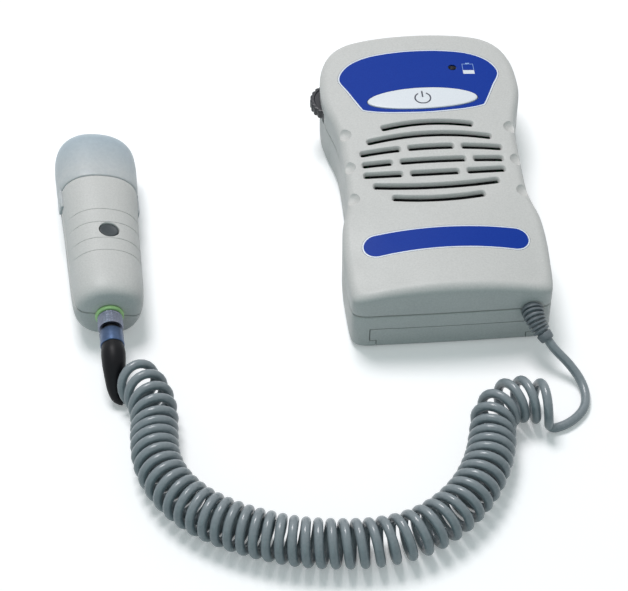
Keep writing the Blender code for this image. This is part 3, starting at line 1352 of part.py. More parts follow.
# plug
sleeve_rows = [(SLEEVE_BORE, SLEEVE_Y[0])]
for k in range(SLEEVE_BANDS * 2 + 1):
    h = SLEEVE_Y[0] + (SLEEVE_Y[1] - SLEEVE_Y[0]) * k / (SLEEVE_BANDS * 2)
    sleeve_rows.append((SLEEVE_R - (SLEEVE_GROOVE if k % 2 == 0 else 0.0), h))
sleeve_rows.append((SLEEVE_BORE, SLEEVE_Y[1]))
probe_piece(turned("sleeve", sleeve_rows, probe_axis), "plug_sleeve", METAL,
            (0.0, SLEEVE_Y[0], 0.0))
probe_piece(turned("barrel", BARREL, probe_axis), "plug_barrel", METAL)
insert = turned("insert", INSERT, probe_axis)
pins = []
for i in range(PINS):
    turn = math.tau * (i + 0.5) / PINS
    pins.append(plain_rod(PIN_R, PIN_Y, PIN_SEGS, PIN_RING_R * math.cos(turn),
                          PIN_RING_R * math.sin(turn)))
add(insert, joined("pins", pins))
probe_piece(insert, "plug_insert", BLACK)
first = PROBE.to_3x3() @ Vector((0.0, -1.0, 0.0))
finish(swept("plug_boot", plug_line, plug_radii, SMALL_ROUND + 4, first), "plug_boot", RUBBER)

total = 0
for obj in bpy.data.objects:
    graph = bpy.context.evaluated_depsgraph_get()
    mesh = obj.evaluated_get(graph).to_mesh()
    mesh.calc_loop_triangles()
    total += len(mesh.loop_triangles)
    print(obj.name, len(mesh.loop_triangles))
print("nodes", len(bpy.data.objects), "triangles", total)
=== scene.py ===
import math
import bmesh
import bpy
from mathutils import Matrix, Vector


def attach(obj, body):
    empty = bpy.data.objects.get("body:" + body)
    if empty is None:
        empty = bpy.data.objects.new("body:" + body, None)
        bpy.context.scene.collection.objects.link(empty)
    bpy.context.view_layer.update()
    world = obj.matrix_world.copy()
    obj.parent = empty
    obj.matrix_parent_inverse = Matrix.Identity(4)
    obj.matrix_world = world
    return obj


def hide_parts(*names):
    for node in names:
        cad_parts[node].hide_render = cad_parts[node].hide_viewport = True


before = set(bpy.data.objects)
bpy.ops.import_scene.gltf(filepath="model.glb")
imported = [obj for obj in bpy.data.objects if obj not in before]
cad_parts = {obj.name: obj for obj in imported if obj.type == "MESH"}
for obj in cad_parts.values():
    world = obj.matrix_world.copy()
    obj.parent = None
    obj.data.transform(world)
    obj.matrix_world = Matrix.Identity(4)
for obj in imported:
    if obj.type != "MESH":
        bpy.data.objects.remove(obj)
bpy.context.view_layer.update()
bpy.ops.object.select_all(action="DESELECT")

# Camera. The photograph looks down on the doppler from in front and a little from the left.
# The lens is long, so the handset hardly narrows towards its far end.
MM = 0.001
LENS_PIXELS = 2100
PHOTO_WIDE = 628
bpy.ops.object.camera_add(location=(-0.09136, -0.59232, 0.58609))
camera = bpy.context.object
camera.name = "photo_camera"
aim = Vector((-0.050218, -0.057604, 0.0150)) - camera.location
camera.rotation_euler = aim.to_track_quat("-Z", "Y").to_euler()
camera.data.sensor_width = 36.0
camera.data.lens = camera.data.sensor_width * LENS_PIXELS / PHOTO_WIDE
bpy.context.scene.camera = camera
bpy.context.scene.view_settings.view_transform = "Standard"


# Table and light. A wide white table, one big soft lamp above and a little behind the doppler,
# and a weak cool lamp low in front, so that the end faces stay darker than the tops.
def tint(red, green, blue):
    """A colour given as screen values, turned into what the shaders take."""
    out = []
    for value in (red, green, blue):
        share = value / 255
        out.append(share / 12.92 if share < 0.04045 else ((share + 0.055) / 1.055) ** 2.4)
    return (*out, 1.0)


def soft_lamp(name, place, target, wide, power, colour):
    bpy.ops.object.light_add(type="AREA", location=place)
    lamp = bpy.context.object
    lamp.name = name
    lamp.rotation_euler = (Vector(target) - Vector(place)).to_track_quat("-Z", "Y").to_euler()
    lamp.data.size = wide
    lamp.data.energy = power
    lamp.data.color = colour


def feed(tree, socket, source):
    """Gives an input a value, or wires another node's output into it."""
    if isinstance(source, bpy.types.NodeSocket):
        tree.links.new(source, socket)
    else:
        socket.default_value = source


def node_in(tree, kind, **values):
    """A new shader node, with a value or an output for each named input."""
    node = tree.nodes.new("ShaderNode" + kind)
    for label, value in values.items():
        feed(tree, node.inputs[label.replace("_", " ")], value)
    return node


def math_node(tree, operation, first, second):
    """The output of a sum on two numbers."""
    node = tree.nodes.new("ShaderNodeMath")
    node.operation = operation
    feed(tree, node.inputs[0], first)
    feed(tree, node.inputs[1], second)
    return node.outputs[0]


def colour_mix(tree, share, first, second, blend="MIX"):
    """The output of a mix of two colours."""
    node = tree.nodes.new("ShaderNodeMix")
    node.data_type = "RGBA"
    node.blend_type = blend
    for index, value in ((0, share), (6, first), (7, second)):
        feed(tree, node.inputs[index], value)
    return node.outputs[2]


def background_rays(tree):
    """1 for the rays that find the white background: seen, mirrored, or through glass."""
    rays = tree.nodes.new("ShaderNodeLightPath").outputs
    bounced = math_node(tree, "MAXIMUM", rays["Is Glossy Ray"], rays["Is Transmission Ray"])
    return math_node(tree, "MAXIMUM", rays["Is Camera Ray"], bounced)


soft_lamp("top_lamp", (-0.36, 0.8, 2.15), (-0.04, -0.04, 0.0), 0.85, 34.0, (1.0, 0.97, 0.99))
soft_lamp("front_lamp", (-0.4, -1.1, 0.4), (-0.03, -0.08, 0.01), 0.8, 0.85, (0.35, 0.92, 0.96))

WHITE = (1.0, 1.0, 1.0, 1.0)
AIR_LIGHT = (0.25, 0.3, 0.305, 1.0)
TABLE_TINT = (0.5, 0.53, 0.55, 1.0)
TABLE_GLOW = 0.22
world = bpy.data.worlds.new("studio_air")
bpy.context.scene.world = world
world.use_nodes = True
air = world.node_tree
feed(air, air.nodes["Background"].inputs["Color"],
     colour_mix(air, background_rays(air), AIR_LIGHT, WHITE))

table_look = bpy.data.materials.new("white_table")
table_look.use_nodes = True
table_tree = table_look.node_tree
table_shown = background_rays(table_tree)
for label, value in (
        ("Roughness", 0.9), ("Specular IOR Level", 0.1), ("Emission Color", WHITE),
        ("Base Color", colour_mix(table_tree, table_shown, TABLE_TINT, WHITE)),
        ("Emission Strength", math_node(table_tree, "MULTIPLY", table_shown, TABLE_GLOW))):
    feed(table_tree, table_tree.nodes["Principled BSDF"].inputs[label], value)
bpy.ops.mesh.primitive_plane_add(size=8.0, location=(0.0, 0.0, -0.00005))
table = bpy.context.object
table.name = "table_top"
table.data.materials.append(table_look)


# Curly cord. A grey vinyl cord, coiled while hot on a rod, so its curls close up tight by
# themselves. It lies on the table in a U from the plug to the handset's strain relief.
def smooth_line(points, steps, closed=False):
    """Points along a smooth line through the given ones."""
    pts = [Vector(p) for p in points]
    count = len(pts)
    out = []
    spans = count if closed else count - 1
    for i in range(spans):
        p1 = pts[i]
        p2 = pts[(i + 1) % count]
        p0 = pts[i - 1] if closed or i > 0 else p1 + p1 - p2
        p3 = pts[(i + 2) % count] if closed or i < count - 2 else p2 + p2 - p1
        t1 = math.sqrt((p1 - p0).length)
        t2 = t1 + math.sqrt((p2 - p1).length)
        t3 = t2 + math.sqrt((p3 - p2).length)
        for k in range(steps):
            t = t1 + (t2 - t1) * k / steps
            a1 = p0.lerp(p1, t / t1)
            a2 = p1.lerp(p2, (t - t1) / (t2 - t1))
            a3 = p2.lerp(p3, (t - t2) / (t3 - t2))
            b1 = a1.lerp(a2, t / t2)
            b2 = a2.lerp(a3, (t - t1) / (t3 - t1))
            out.append(b1.lerp(b2, (t - t1) / (t2 - t1)))
    if not closed:
        out.append(pts[-1])
    return out


WIRE_R = 1.7
CURL_R = 7.1
CURL_GAP = 0.5
CURL_PER_TURN = 8
CURL_FINE = 3
FIRST_TURN = math.radians(-90)
LAST_TURN = 225 / 360
LEAN = 3.0
LEAN_RUN = 26.0
OPEN_AT = 0.60
OPEN_WIDE = 0.12
OPEN_MORE = 0.14
HEADING_REACH = 18.0
NEAR = 0.5
TABLE_GAP = 0.08
CURL_AXIS = (
    (-118.0, -88.85), (-115.2, -92.6), (-112.6, -98.6), (-111.3, -106.6), (-111.5, -116.0),
    (-110.9, -126.5), (-107.2, -137.2), (-98.8, -148.2), (-87.8, -156.2), (-76.0, -161.8),
    (-63.3, -165.8), (-49.8, -167.8), (-36.2, -168.0), (-22.8, -165.1), (-11.2, -158.4),
    (-1.6, -148.4), (5.0, -136.2), (8.0, -126.0), (9.8, -117.0), (15.4, -110.0),
    (23.6, -109.0), (32.4, -113.6))
axis_line = [(p.x, p.y) for p in smooth_line([(x, y, 0.0) for x, y in CURL_AXIS], 24)]
axis_runs = [0.0]
for a, b in zip(axis_line, axis_line[1:]):
    axis_runs.append(axis_runs[-1] + math.dist(a, b))


def axis_at(run):
    """The place on the U at a run along it."""
    run = min(axis_runs[-1], max(0.0, run))
    low = 0
    high = len(axis_runs) - 1
    while high - low > 1:
        mid = (low + high) // 2
        if axis_runs[mid] <= run:
            low = mid
        else:
            high = mid
    t = (run - axis_runs[low]) / (axis_runs[high] - axis_runs[low])
    a = axis_line[low]
    b = axis_line[high]
    return a[0] + (b[0] - a[0]) * t, a[1] + (b[1] - a[1]) * t


def axis_heading(run, reach):
    """The way the U heads, taken over a reach to both sides."""
    a = axis_at(run - reach)
    b = axis_at(run + reach)
    return math.atan2(b[1] - a[1], b[0] - a[0])


def curl_lean(run):
    """How far the first curls lean over beside the plug."""
    u = min(1.0, max(0.0, run / LEAN_RUN))
    return LEAN * (1 - u) * (1 - u) * (1 + 2 * u)


def curl_point(run, turn):
    """A point of the cord's centre line, by its run along the U and its turn round it."""
    head = axis_heading(run, HEADING_REACH)
    x, y = axis_at(run)
    across = CURL_R * math.cos(turn)
    along = -curl_lean(run) * math.sin(turn)
    return Vector((x - math.sin(head) * across + math.cos(head) * along,
                   y + math.cos(head) * across + math.sin(head) * along,
                   WIRE_R + TABLE_GAP + CURL_R + CURL_R * math.sin(turn)))


curl_marks = []
run = 0.0
turn = FIRST_TURN
while run < axis_runs[-1]:
    curl_marks.append((run, turn))
    swing = axis_heading(run + NEAR, HEADING_REACH) - axis_heading(run - NEAR, HEADING_REACH)
    bend = abs((swing + math.pi) % math.tau - math.pi)
    skew = axis_heading(run, NEAR) - axis_heading(run, HEADING_REACH)
    slope = curl_lean(run + NEAR) - curl_lean(max(0.0, run - NEAR))
    room = math.cos(skew) - CURL_R * bend + slope * 1.1
    spread = (run / axis_runs[-1] - OPEN_AT) / OPEN_WIDE
    opened = 1 + OPEN_MORE * math.exp(-spread * spread)
    run += (WIRE_R * 2 + CURL_GAP) / max(0.3, room) * opened / CURL_PER_TURN
    turn += math.tau / CURL_PER_TURN
while abs((curl_marks[-1][1] / math.tau - LAST_TURN + 0.5) % 1 - 0.5) * CURL_PER_TURN > 0.5:
    curl_marks.pop()
curls = []
for a, b in zip(curl_marks, curl_marks[1:]):
    for k in range(CURL_FINE):
        t = k / CURL_FINE
        curls.append(curl_point(a[0] + (b[0] - a[0]) * t, a[1] + (b[1] - a[1]) * t))
curls.append(curl_point(*curl_marks[-1]))

RELIEF_ROUTE = ((29.3, -72.9, 17.4), (29.9, -76.2, 16.5), (31.5, -80.0, 14.4), (34.2, -83.6, 11.8))
relief_line = smooth_line(RELIEF_ROUTE, 12)
relief_ahead = (relief_line[-1] - relief_line[-2]).normalized()
PLUG_ROUTE = (
    (-125.48, -76.3, 13.5), (-125.25, -80.0, 13.3), (-125.2, -83.8, 12.0), (-125.3, -87.3, 9.2),
    (-125.2, -90.0, 5.9), (-124.6, -91.6, 3.6), (-123.5, -92.2, 2.7))
plug_ahead = Vector((0.96, -0.05, -0.2)).normalized()
plug_tip = Vector(PLUG_ROUTE[-1]) + plug_ahead * 0.9
lead = smooth_line([plug_tip - plug_ahead * 0.5, plug_tip + plug_ahead * 3.7,
                    (-118.3, -92.3, 1.82), curls[0]], 6)[:-1]
tail = smooth_line([curls[-1], (31.8, -117.2, 1.9), (36.0, -116.0, 1.8), (40.8, -112.8, 1.8),
                    (44.4, -108.2, 1.8), (45.8, -102.0, 1.9), (44.8, -96.4, 3.2),
                    (41.4, -91.3, 6.2), relief_line[-1] + relief_ahead * 3.7,
                    relief_line[-1] - relief_ahead * 1.5], 6)[1:]
cord_line = [p * MM for p in (lead + curls + tail)[::-1]]
cord_data = bpy.data.curves.new("curly_cord_vinyl", "CURVE")
cord_data.dimensions = "3D"
cord_data.bevel_depth = WIRE_R * MM
cord_data.bevel_resolution = 5
cord_data.use_fill_caps = True
cord_spline = cord_data.splines.new("POLY")
cord_spline.points.add(len(cord_line) - 1)
cord_spline.use_smooth = True
for knot, p in zip(cord_spline.points, cord_line):
    knot.co = (*p, 1.0)
cord = bpy.data.objects.new("curly_cord_vinyl", cord_data)
bpy.context.scene.collection.objects.link(cord)


def new_group(name, inputs, outputs):
    """An empty effect with its named sockets."""
    tree = bpy.data.node_groups.new(name, "ShaderNodeTree")
    for label, kind, value in inputs:
        socket = tree.interface.new_socket(label, in_out="INPUT", socket_type=kind)
        socket.default_value = value
    for label, kind in outputs:
        tree.interface.new_socket(label, in_out="OUTPUT", socket_type=kind)
    return tree, tree.nodes.new("NodeGroupInput"), tree.nodes.new("NodeGroupOutput")


grain, grain_in, grain_out = new_group(
    "moulded_grain",
    [("Scale", "NodeSocketFloat", 900.0), ("Depth", "NodeSocketFloat", 0.00003),
     ("Light", "NodeSocketColor", (0.8, 0.8, 0.8, 1)),
     ("Dark", "NodeSocketColor", (0.7, 0.7, 0.7, 1))],
    [("Normal", "NodeSocketVector"), ("Colour", "NodeSocketColor")])
grain_noise = node_in(grain, "TexNoise", Vector=node_in(grain, "TexCoord").outputs["Object"],
                      Scale=grain_in.outputs["Scale"], Detail=3.0, Roughness=0.65)
grain_bump = node_in(grain, "Bump", Strength=1.0, Distance=grain_in.outputs["Depth"],
                     Height=grain_noise.outputs["Fac"])
grain_range = node_in(grain, "MapRange", Value=grain_noise.outputs["Fac"], From_Min=0.32,
                      From_Max=0.68)
feed(grain, grain_out.inputs["Normal"], grain_bump.outputs["Normal"])
feed(grain, grain_out.inputs["Colour"],
     colour_mix(grain, grain_range.outputs["Result"], grain_in.outputs["Dark"],
                grain_in.outputs["Light"]))

marks, marks_in, marks_out = new_group(
    "handling_marks",
    [("Scale", "NodeSocketFloat", 60.0), ("Smooth", "NodeSocketFloat", 0.4),
     ("Rough", "NodeSocketFloat", 0.5), ("Colour", "NodeSocketColor", (0.7, 0.7, 0.7, 1)),
     ("Soiled", "NodeSocketColor", (0.65, 0.65, 0.65, 1))],
    [("Roughness", "NodeSocketFloat"), ("Colour", "NodeSocketColor")])
marks_noise = node_in(marks, "TexNoise", Vector=node_in(marks, "TexCoord").outputs["Object"],
                      Scale=marks_in.outputs["Scale"], Detail=4.0)
marks_range = node_in(marks, "MapRange", Value=marks_noise.outputs["Fac"], From_Min=0.35,
                      From_Max=0.7, To_Min=marks_in.outputs["Smooth"],
                      To_Max=marks_in.outputs["Rough"])
feed(marks, marks_out.inputs["Roughness"], marks_range.outputs["Result"])
feed(marks, marks_out.inputs["Colour"],
     colour_mix(marks, marks_noise.outputs["Fac"], marks_in.outputs["Colour"],
                marks_in.outputs["Soiled"]))
MARKS_SCALE = 60.0


def moulded(name, light, dark, smooth, rough, grain_scale, grain_depth, metal=0.0, soil=0.94,
            specular=0.5):
    """A moulded plastic or cast finish: two close tints in a fine grain, under handling marks."""
    look = bpy.data.materials.new(name)
    look.use_nodes = True
    tree = look.node_tree
    shader = tree.nodes["Principled BSDF"]
    grained = tree.nodes.new("ShaderNodeGroup")
    grained.node_tree = grain
    handled = tree.nodes.new("ShaderNodeGroup")
    handled.node_tree = marks
    for node, label, value in (
            (grained, "Scale", grain_scale), (grained, "Depth", grain_depth),
            (grained, "Light", tint(*light)), (grained, "Dark", tint(*dark)),
            (handled, "Scale", MARKS_SCALE), (handled, "Smooth", smooth),
            (handled, "Rough", rough), (handled, "Colour", WHITE),
            (handled, "Soiled", (soil, soil, soil, 1.0)),
            (shader, "Metallic", metal), (shader, "Specular IOR Level", specular),
            (shader, "Roughness", handled.outputs["Roughness"]),
            (shader, "Normal", grained.outputs["Normal"]),
            (shader, "Base Color", colour_mix(tree, 1.0, grained.outputs["Colour"],
                                              handled.outputs["Colour"], "MULTIPLY"))):
        feed(tree, node.inputs[label], value)
    return look


cord_look = moulded("cord_vinyl_grey", (140, 149, 154), (128, 138, 143), 0.26, 0.36, 700.0,
                    0.00002)
cord_look.node_tree.nodes["Principled BSDF"].inputs["Coat Weight"].default_value = 0.2
cord_data.materials.append(cord_look)
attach(cord, "handset")
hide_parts("curly_cord")


# Strain relief. A tapered sleeve of the cord's own grey vinyl, moulded over it with seven fins
# and a plain collar, snapped into the joint of the shells and bent down by the cord's weight.
def pull_rows(name, rows, capped=True):
    """A skin pulled out row by row from a circle of points, with both ends closed if asked."""
    bpy.ops.object.select_all(action="DESELECT")
    bpy.ops.mesh.primitive_circle_add(vertices=len(rows[0]), radius=1.0)
    piece = bpy.context.object
    piece.name = name
    bpy.ops.object.mode_set(mode="EDIT")
    work = bmesh.from_edit_mesh(piece.data)
    where = {}
    for k, vert in enumerate(work.verts):
        vert.co = rows[0][k]
        where[vert.co.copy().freeze()] = k
    for row in rows[1:]:
        bpy.ops.mesh.extrude_edges_move()
        work = bmesh.from_edit_mesh(piece.data)
        fresh = {}
        for vert in work.verts:
            if vert.select:
                k = where[vert.co.copy().freeze()]
                vert.co = row[k]
                fresh[vert.co.copy().freeze()] = k
        where = fresh
    if capped:
        bpy.ops.mesh.edge_face_add()
        bpy.ops.mesh.select_all(action="DESELECT")
        work = bmesh.from_edit_mesh(piece.data)
        work.verts.ensure_lookup_table()
        for k in range(len(rows[0])):
            work.verts[k].select_set(True)
        work.select_flush(True)
        bmesh.update_edit_mesh(piece.data)
        bpy.ops.mesh.edge_face_add()
    bpy.ops.mesh.select_all(action="SELECT")
    bpy.ops.mesh.remove_doubles(threshold=0.000002)
    bpy.ops.mesh.normals_make_consistent(inside=False)
    bpy.ops.object.mode_set(mode="OBJECT")
    return piece


def pick(piece):
    """Makes a piece the active one and the only one selected."""
    bpy.ops.object.select_all(action="DESELECT")
    piece.select_set(True)
    bpy.context.view_layer.objects.active = piece


def smooth_skin(piece, degrees):
    """Smooth shading that keeps the real edges."""
    pick(piece)
    bpy.ops.object.shade_smooth_by_angle(angle=math.radians(degrees))


def settle(piece, look, body, slot, *nodes):
    """Gives a finished piece its look, its body and the CAD nodes that it stands for."""
    piece.data.name = piece.name
    piece.data.materials.clear()
    piece.data.materials.append(look)
    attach(piece, body)
    if nodes:
        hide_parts(*nodes)


def round_rows(line, radii, count, ahead_first=None):
    """Circles square to a line, each with its own radius."""
    rows = []
    for k, p in enumerate(line):
        ahead = (line[min(k + 1, len(line) - 1)] - line[max(k - 1, 0)]).normalized()
        if k == 0 and ahead_first is not None:
            ahead = ahead_first
        side = ahead.cross(Vector((0.0, 0.0, 1.0))).normalized()
        up = side.cross(ahead)
        row = []
        for i in range(count):
            turn = math.tau * i / count
            row.append((p + side * (radii[k] * math.cos(turn))
                        + up * (radii[k] * math.sin(turn))) * MM)
        rows.append(row)
    return rows


def even_points(line, count):
    """Points at even steps along a line."""
    runs = [0.0]
    for a, b in zip(line, line[1:]):
        runs.append(runs[-1] + (b - a).length)
    out = []
    for k in range(count):
        run = runs[-1] * k / (count - 1)
        i = 0
        while i < len(runs) - 2 and runs[i + 1] < run:
            i += 1
        out.append(line[i].lerp(line[i + 1], (run - runs[i]) / (runs[i + 1] - runs[i])))
    return out


FINS = 7
FIN_END = 0.76
RELIEF_STEPS = 400
FIN_SHARES = (0.0, 0.04, 0.1, 0.5, 0.56, 0.6, 0.63, 0.96)
FIN_DEPTHS = (0.35, 0.12, 0.0, 0.0, 0.12, 0.35, 1.0, 1.0)
relief_shares = []
relief_radii = []
for fin in range(FINS):
    for share, depth in zip(FIN_SHARES, FIN_DEPTHS):
        along = (fin + share) / FINS * FIN_END
        relief_shares.append(along)
        relief_radii.append(4.25 - 1.35 * along - 1.05 * depth)
for along, radius in ((FIN_END, 2.5), (0.77, 2.78), (0.79, 2.9), (0.92, 2.72), (0.965, 2.6),
                      (0.99, 2.4), (1.0, 2.1)):
    relief_shares.append(along)
    relief_radii.append(radius)
relief_fine = even_points(relief_line, RELIEF_STEPS + 1)
relief_path = [relief_fine[round(share * RELIEF_STEPS)] for share in relief_shares]
relief_path = [Vector((29.3, -68.4, 17.4)), Vector((29.3, -71.6, 17.4))] + relief_path
relief_radii = [2.9, 2.9] + relief_radii
relief = pull_rows("strain_relief", round_rows(relief_path, relief_radii, 32, Vector((0, -1, 0))))
smooth_skin(relief, 40)
relief_look = moulded("relief_vinyl_grey", (120, 127, 132), (108, 115, 120), 0.42, 0.55, 900.0,
                      0.00003)
settle(relief, relief_look, "handset", "cord_vinyl", "cord_boot")


# Shells of the handset. Two halves moulded in warm light grey plastic, 2.2 mm thick, with a
# waist for the hand. The upper one is crowned, and rounded over along its edge.
HALF_W = 37.5
HALF_L = 72.5
HEIGHT = 31.0
ROUND = 32
OUTLINE = (
    (0.0, 72.5), (9.0, 72.25), (16.0, 71.8), (23.0, 70.9), (28.5, 69.4), (33.0, 66.6),
    (36.0, 62.8), (38.2, 57.6), (39.4, 52.0), (39.9, 45.0), (39.8, 38.5), (38.5, 31.0),
    (36.9, 25.0), (35.4, 18.0), (34.8, 12.0), (34.4, -6.0), (34.7, -21.5), (36.0, -28.0),
    (37.6, -34.5), (38.4, -46.0), (38.2, -56.0), (37.6, -66.5), (36.6, -70.4), (34.0, -71.9),
    (24.0, -72.3), (12.0, -72.45), (0.0, -72.5))
half_outline = [(x, y, 0.0) for x, y in OUTLINE]
left_outline = [(-x, y, 0.0) for x, y in OUTLINE[-2:0:-1]]
case_outline = smooth_line(half_outline + left_outline, 5, closed=True)


def crown_z(x, y):
    """Height of the crowned top, which falls off more towards the front end."""
    u = min(1.0, max(0.0, (-25.0 - y) / (HALF_L - 25.0)))
    deep = 2.3 + 3.0 * u * u * (3 - 2 * u)
    return HEIGHT - deep * (x / HALF_W) ** 2


def case_row(inset, height=None, below=None, flat_inset=0.0):
    """The case outline drawn in, level or at a depth below the crown."""
    row = []
    for p in case_outline:
        x = p.x * (1 - inset / HALF_W)
        y = p.y * (1 - inset / HALF_L)
        if height is None:
            z = crown_z(p.x * (1 - flat_inset / HALF_W), p.y * (1 - flat_inset / HALF_L)) - below
        else:
            z = height
        row.append(Vector((x, y, z)) * MM)
    return row


def strip_cuts(piece, height_of, xs, ys, up=True):
    """Cuts a flat end face into strips both ways and lays them on the crown."""
    pick(piece)
    bpy.ops.object.mode_set(mode="EDIT")
    bpy.ops.mesh.select_mode(type="FACE")
    work = bmesh.from_edit_mesh(piece.data)
    biggest = None
    for face in work.faces:
        face.material_index = 0
        if len(face.verts) > 20:
            level = face.calc_center_median().z
            if biggest is None or (level > biggest.calc_center_median().z) == up:
                biggest = face
    biggest.material_index = 1
    for normal, places in (((1, 0, 0), xs), ((0, 1, 0), ys)):
        for place in places:
            bpy.ops.mesh.select_all(action="DESELECT")
            work = bmesh.from_edit_mesh(piece.data)
            for face in work.faces:
                if face.material_index == 1:
                    face.select_set(True)
            bmesh.update_edit_mesh(piece.data)
            bpy.ops.mesh.bisect(plane_co=Vector(normal) * place * MM, plane_no=normal)
    work = bmesh.from_edit_mesh(piece.data)
    for vert in {v for f in work.faces if f.material_index == 1 for v in f.verts}:
        vert.co.z = height_of(vert.co.x / MM, vert.co.y / MM) * MM
    for face in work.faces:
        face.material_index = 0
    bmesh.update_edit_mesh(piece.data)
    bpy.ops.mesh.select_mode(type="VERT")
    bpy.ops.object.mode_set(mode="OBJECT")


def carve(piece, tools, kind="DIFFERENCE"):
    """Cuts a piece with tools, or adds them to it, then throws the tools away."""
    for tool in tools:
        pick(piece)
        bpy.ops.object.modifier_add(type="BOOLEAN")
        step = piece.modifiers[-1]
        step.operation = kind
        step.solver = "EXACT"
        step.object = tool
        bpy.ops.object.modifier_apply(modifier=step.name)
        bpy.data.objects.remove(tool)


def together(tools):
    """Several tools that don't touch, as one."""
    bpy.ops.object.select_all(action="DESELECT")
    for tool in tools:
        tool.select_set(True)
    bpy.context.view_layer.objects.active = tools[0]
    if len(tools) > 1:
        bpy.ops.object.join()
    return tools[0]


def block(xs, ys, zs):
    """A square-cornered tool."""
    bpy.ops.object.select_all(action="DESELECT")
    bpy.ops.mesh.primitive_cube_add(size=1.0)
    tool = bpy.context.object
    bpy.ops.object.mode_set(mode="EDIT")
    work = bmesh.from_edit_mesh(tool.data)
    for vert in work.verts:
        vert.co = [(a + b) / 2 * MM + c * (b - a) * MM
                   for (a, b), c in zip((xs, ys, zs), vert.co)]
    bmesh.update_edit_mesh(tool.data)
    bpy.ops.mesh.normals_make_consistent(inside=False)
    bpy.ops.object.mode_set(mode="OBJECT")
    return tool


def disc_row(x, y, radius, z):
    """A level circle of points."""
    return [Vector((x + radius * math.cos(math.tau * i / ROUND),
                    y + radius * math.sin(math.tau * i / ROUND), z)) * MM for i in range(ROUND)]


def rod(x, y, radius, zs):
    """An upright round tool."""
    return pull_rows("rod", [disc_row(x, y, radius, z) for z in zs])


def flat_rows(outline, zs):
    """The same outline at several heights."""
    return [[Vector((p[0], p[1], z)) * MM for p in outline] for z in zs]


def grown(outline, by):
    """An outline moved outwards all round."""
    count = len(outline)
    area = sum(outline[i][0] * outline[(i + 1) % count][1]
               - outline[(i + 1) % count][0] * outline[i][1] for i in range(count))
    side = by if area > 0 else -by
    out = []
    for i in range(count):
        a = Vector(outline[i - 1][:2])
        b = Vector(outline[i][:2])
        c = Vector(outline[(i + 1) % count][:2])
        d1 = (b - a).normalized()
        d2 = (c - b).normalized()
        mid = Vector((d1.y, -d1.x)) + Vector((d2.y, -d2.x))
        out.append(b + mid * (side * 2 / mid.length_squared))
    return out


TOP_FILLET = 3.8
ROOF = 1.6
top_rows = [case_row(TOP_FILLET, below=0.0, flat_inset=TOP_FILLET)]
for k in range(1, 10):
    turn = math.pi / 2 * k / 9
    top_rows.append(case_row(TOP_FILLET * (1 - math.sin(turn)),
                             below=TOP_FILLET * (1 - math.cos(turn)), flat_inset=TOP_FILLET))
for inset, height in ((0.0, 18.0), (0.08, 17.65), (0.22, 17.42), (0.4, 17.32), (0.7, 17.28),
                      (1.0, 17.28), (1.0, 18.9), (2.2, 18.9)):
    top_rows.append(case_row(inset, height=height))
top_rows.append(case_row(2.2, below=ROOF + 1.4, flat_inset=3.6))
top_rows.append(case_row(2.6, below=ROOF + 0.4, flat_inset=3.6))
top_rows.append(case_row(3.6, below=ROOF, flat_inset=3.6))
top_shell = pull_rows("top_shell_cover", top_rows)
cut_xs = [-30 + 5 * k for k in range(13)]
cut_ys = [-66 + 6 * k for k in range(23)]
strip_cuts(top_shell, crown_z, cut_xs, cut_ys)
strip_cuts(top_shell, lambda x, y: crown_z(x, y) - ROOF, cut_xs, cut_ys, up=False)

SLOT_ROWS = (
    (17.4, 18.0, 1.9, 0.0), (10.7, 24.3, 2.4, 0.0), (3.3, 27.6, 1.3, 10.45),
    (-4.2, 27.3, 0.0, 14.25), (-11.3, 27.3, -1.3, 10.95), (-18.7, 24.1, -2.4, 0.0),
    (-25.5, 17.6, -1.9, 0.0))
SLOT_HALF = 1.4
SLOT_CORNER = 0.9
SLOT_WALL = ((-0.3, 6.0), (-0.3, 1.55), (-0.16, 1.1), (0.0, 0.75), (0.16, 0.45), (0.32, 0.2),
             (0.48, 0.04), (0.62, -0.02), (0.62, -1.5))
BAR_HALF = 1.6


def slot_line(x_from, x_to, y_mid, half, sag):
    """The outline of one speaker slot: two bowed sides and rounded-square ends."""
    upper = []
    lower = []
    steps = 16
    for k in range(steps + 1):
        x = x_from + (x_to - x_from) * k / steps
        y = y_mid - sag * (x / half) ** 2
        slope = math.atan(-2 * sag * x / half ** 2)
        side = Vector((-math.sin(slope), math.cos(slope)))
        along = Vector((math.cos(slope), math.sin(slope)))
        p = Vector((x, y))
        if k in (0, steps):
            sign = -1 if k == 0 else 1
            corner = []
            for turn in (0, 30, 60, 90):
                bow = math.radians(turn)
                corner.append(p + along * (sign * (-SLOT_CORNER + SLOT_CORNER * math.cos(bow)))
                              + side * (SLOT_HALF - SLOT_CORNER + SLOT_CORNER * math.sin(bow)))
            flip = [q - side * (2 * (q - p).dot(side)) for q in corner]
            if k == 0:
                upper += corner
                lower += flip
            else:
                upper += corner[::-1]
                lower += flip[::-1]
        elif x_from + 1.2 < x < x_to - 1.2:
            upper.append(p + side * SLOT_HALF)
            lower.append(p - side * SLOT_HALF)
    return upper + lower[::-1]


slot_tools = []
for y_mid, half, sag, bar in SLOT_ROWS:
    ends = [(-half, half)]
    if bar > 0:
        ends = [(-half, -bar - BAR_HALF), (-bar + BAR_HALF, bar - BAR_HALF),
                (bar + BAR_HALF, half)]
    for x_from, x_to in ends:
        line = slot_line(x_from, x_to, y_mid, half, sag)
        rows = [[Vector((p.x, p.y, crown_z(p.x, p.y) - depth)) * MM for p in grown(line, grow)]
                for grow, depth in SLOT_WALL]
        slot_tools.append(pull_rows("slot_tool", rows))
carve(top_shell, [together(slot_tools)])

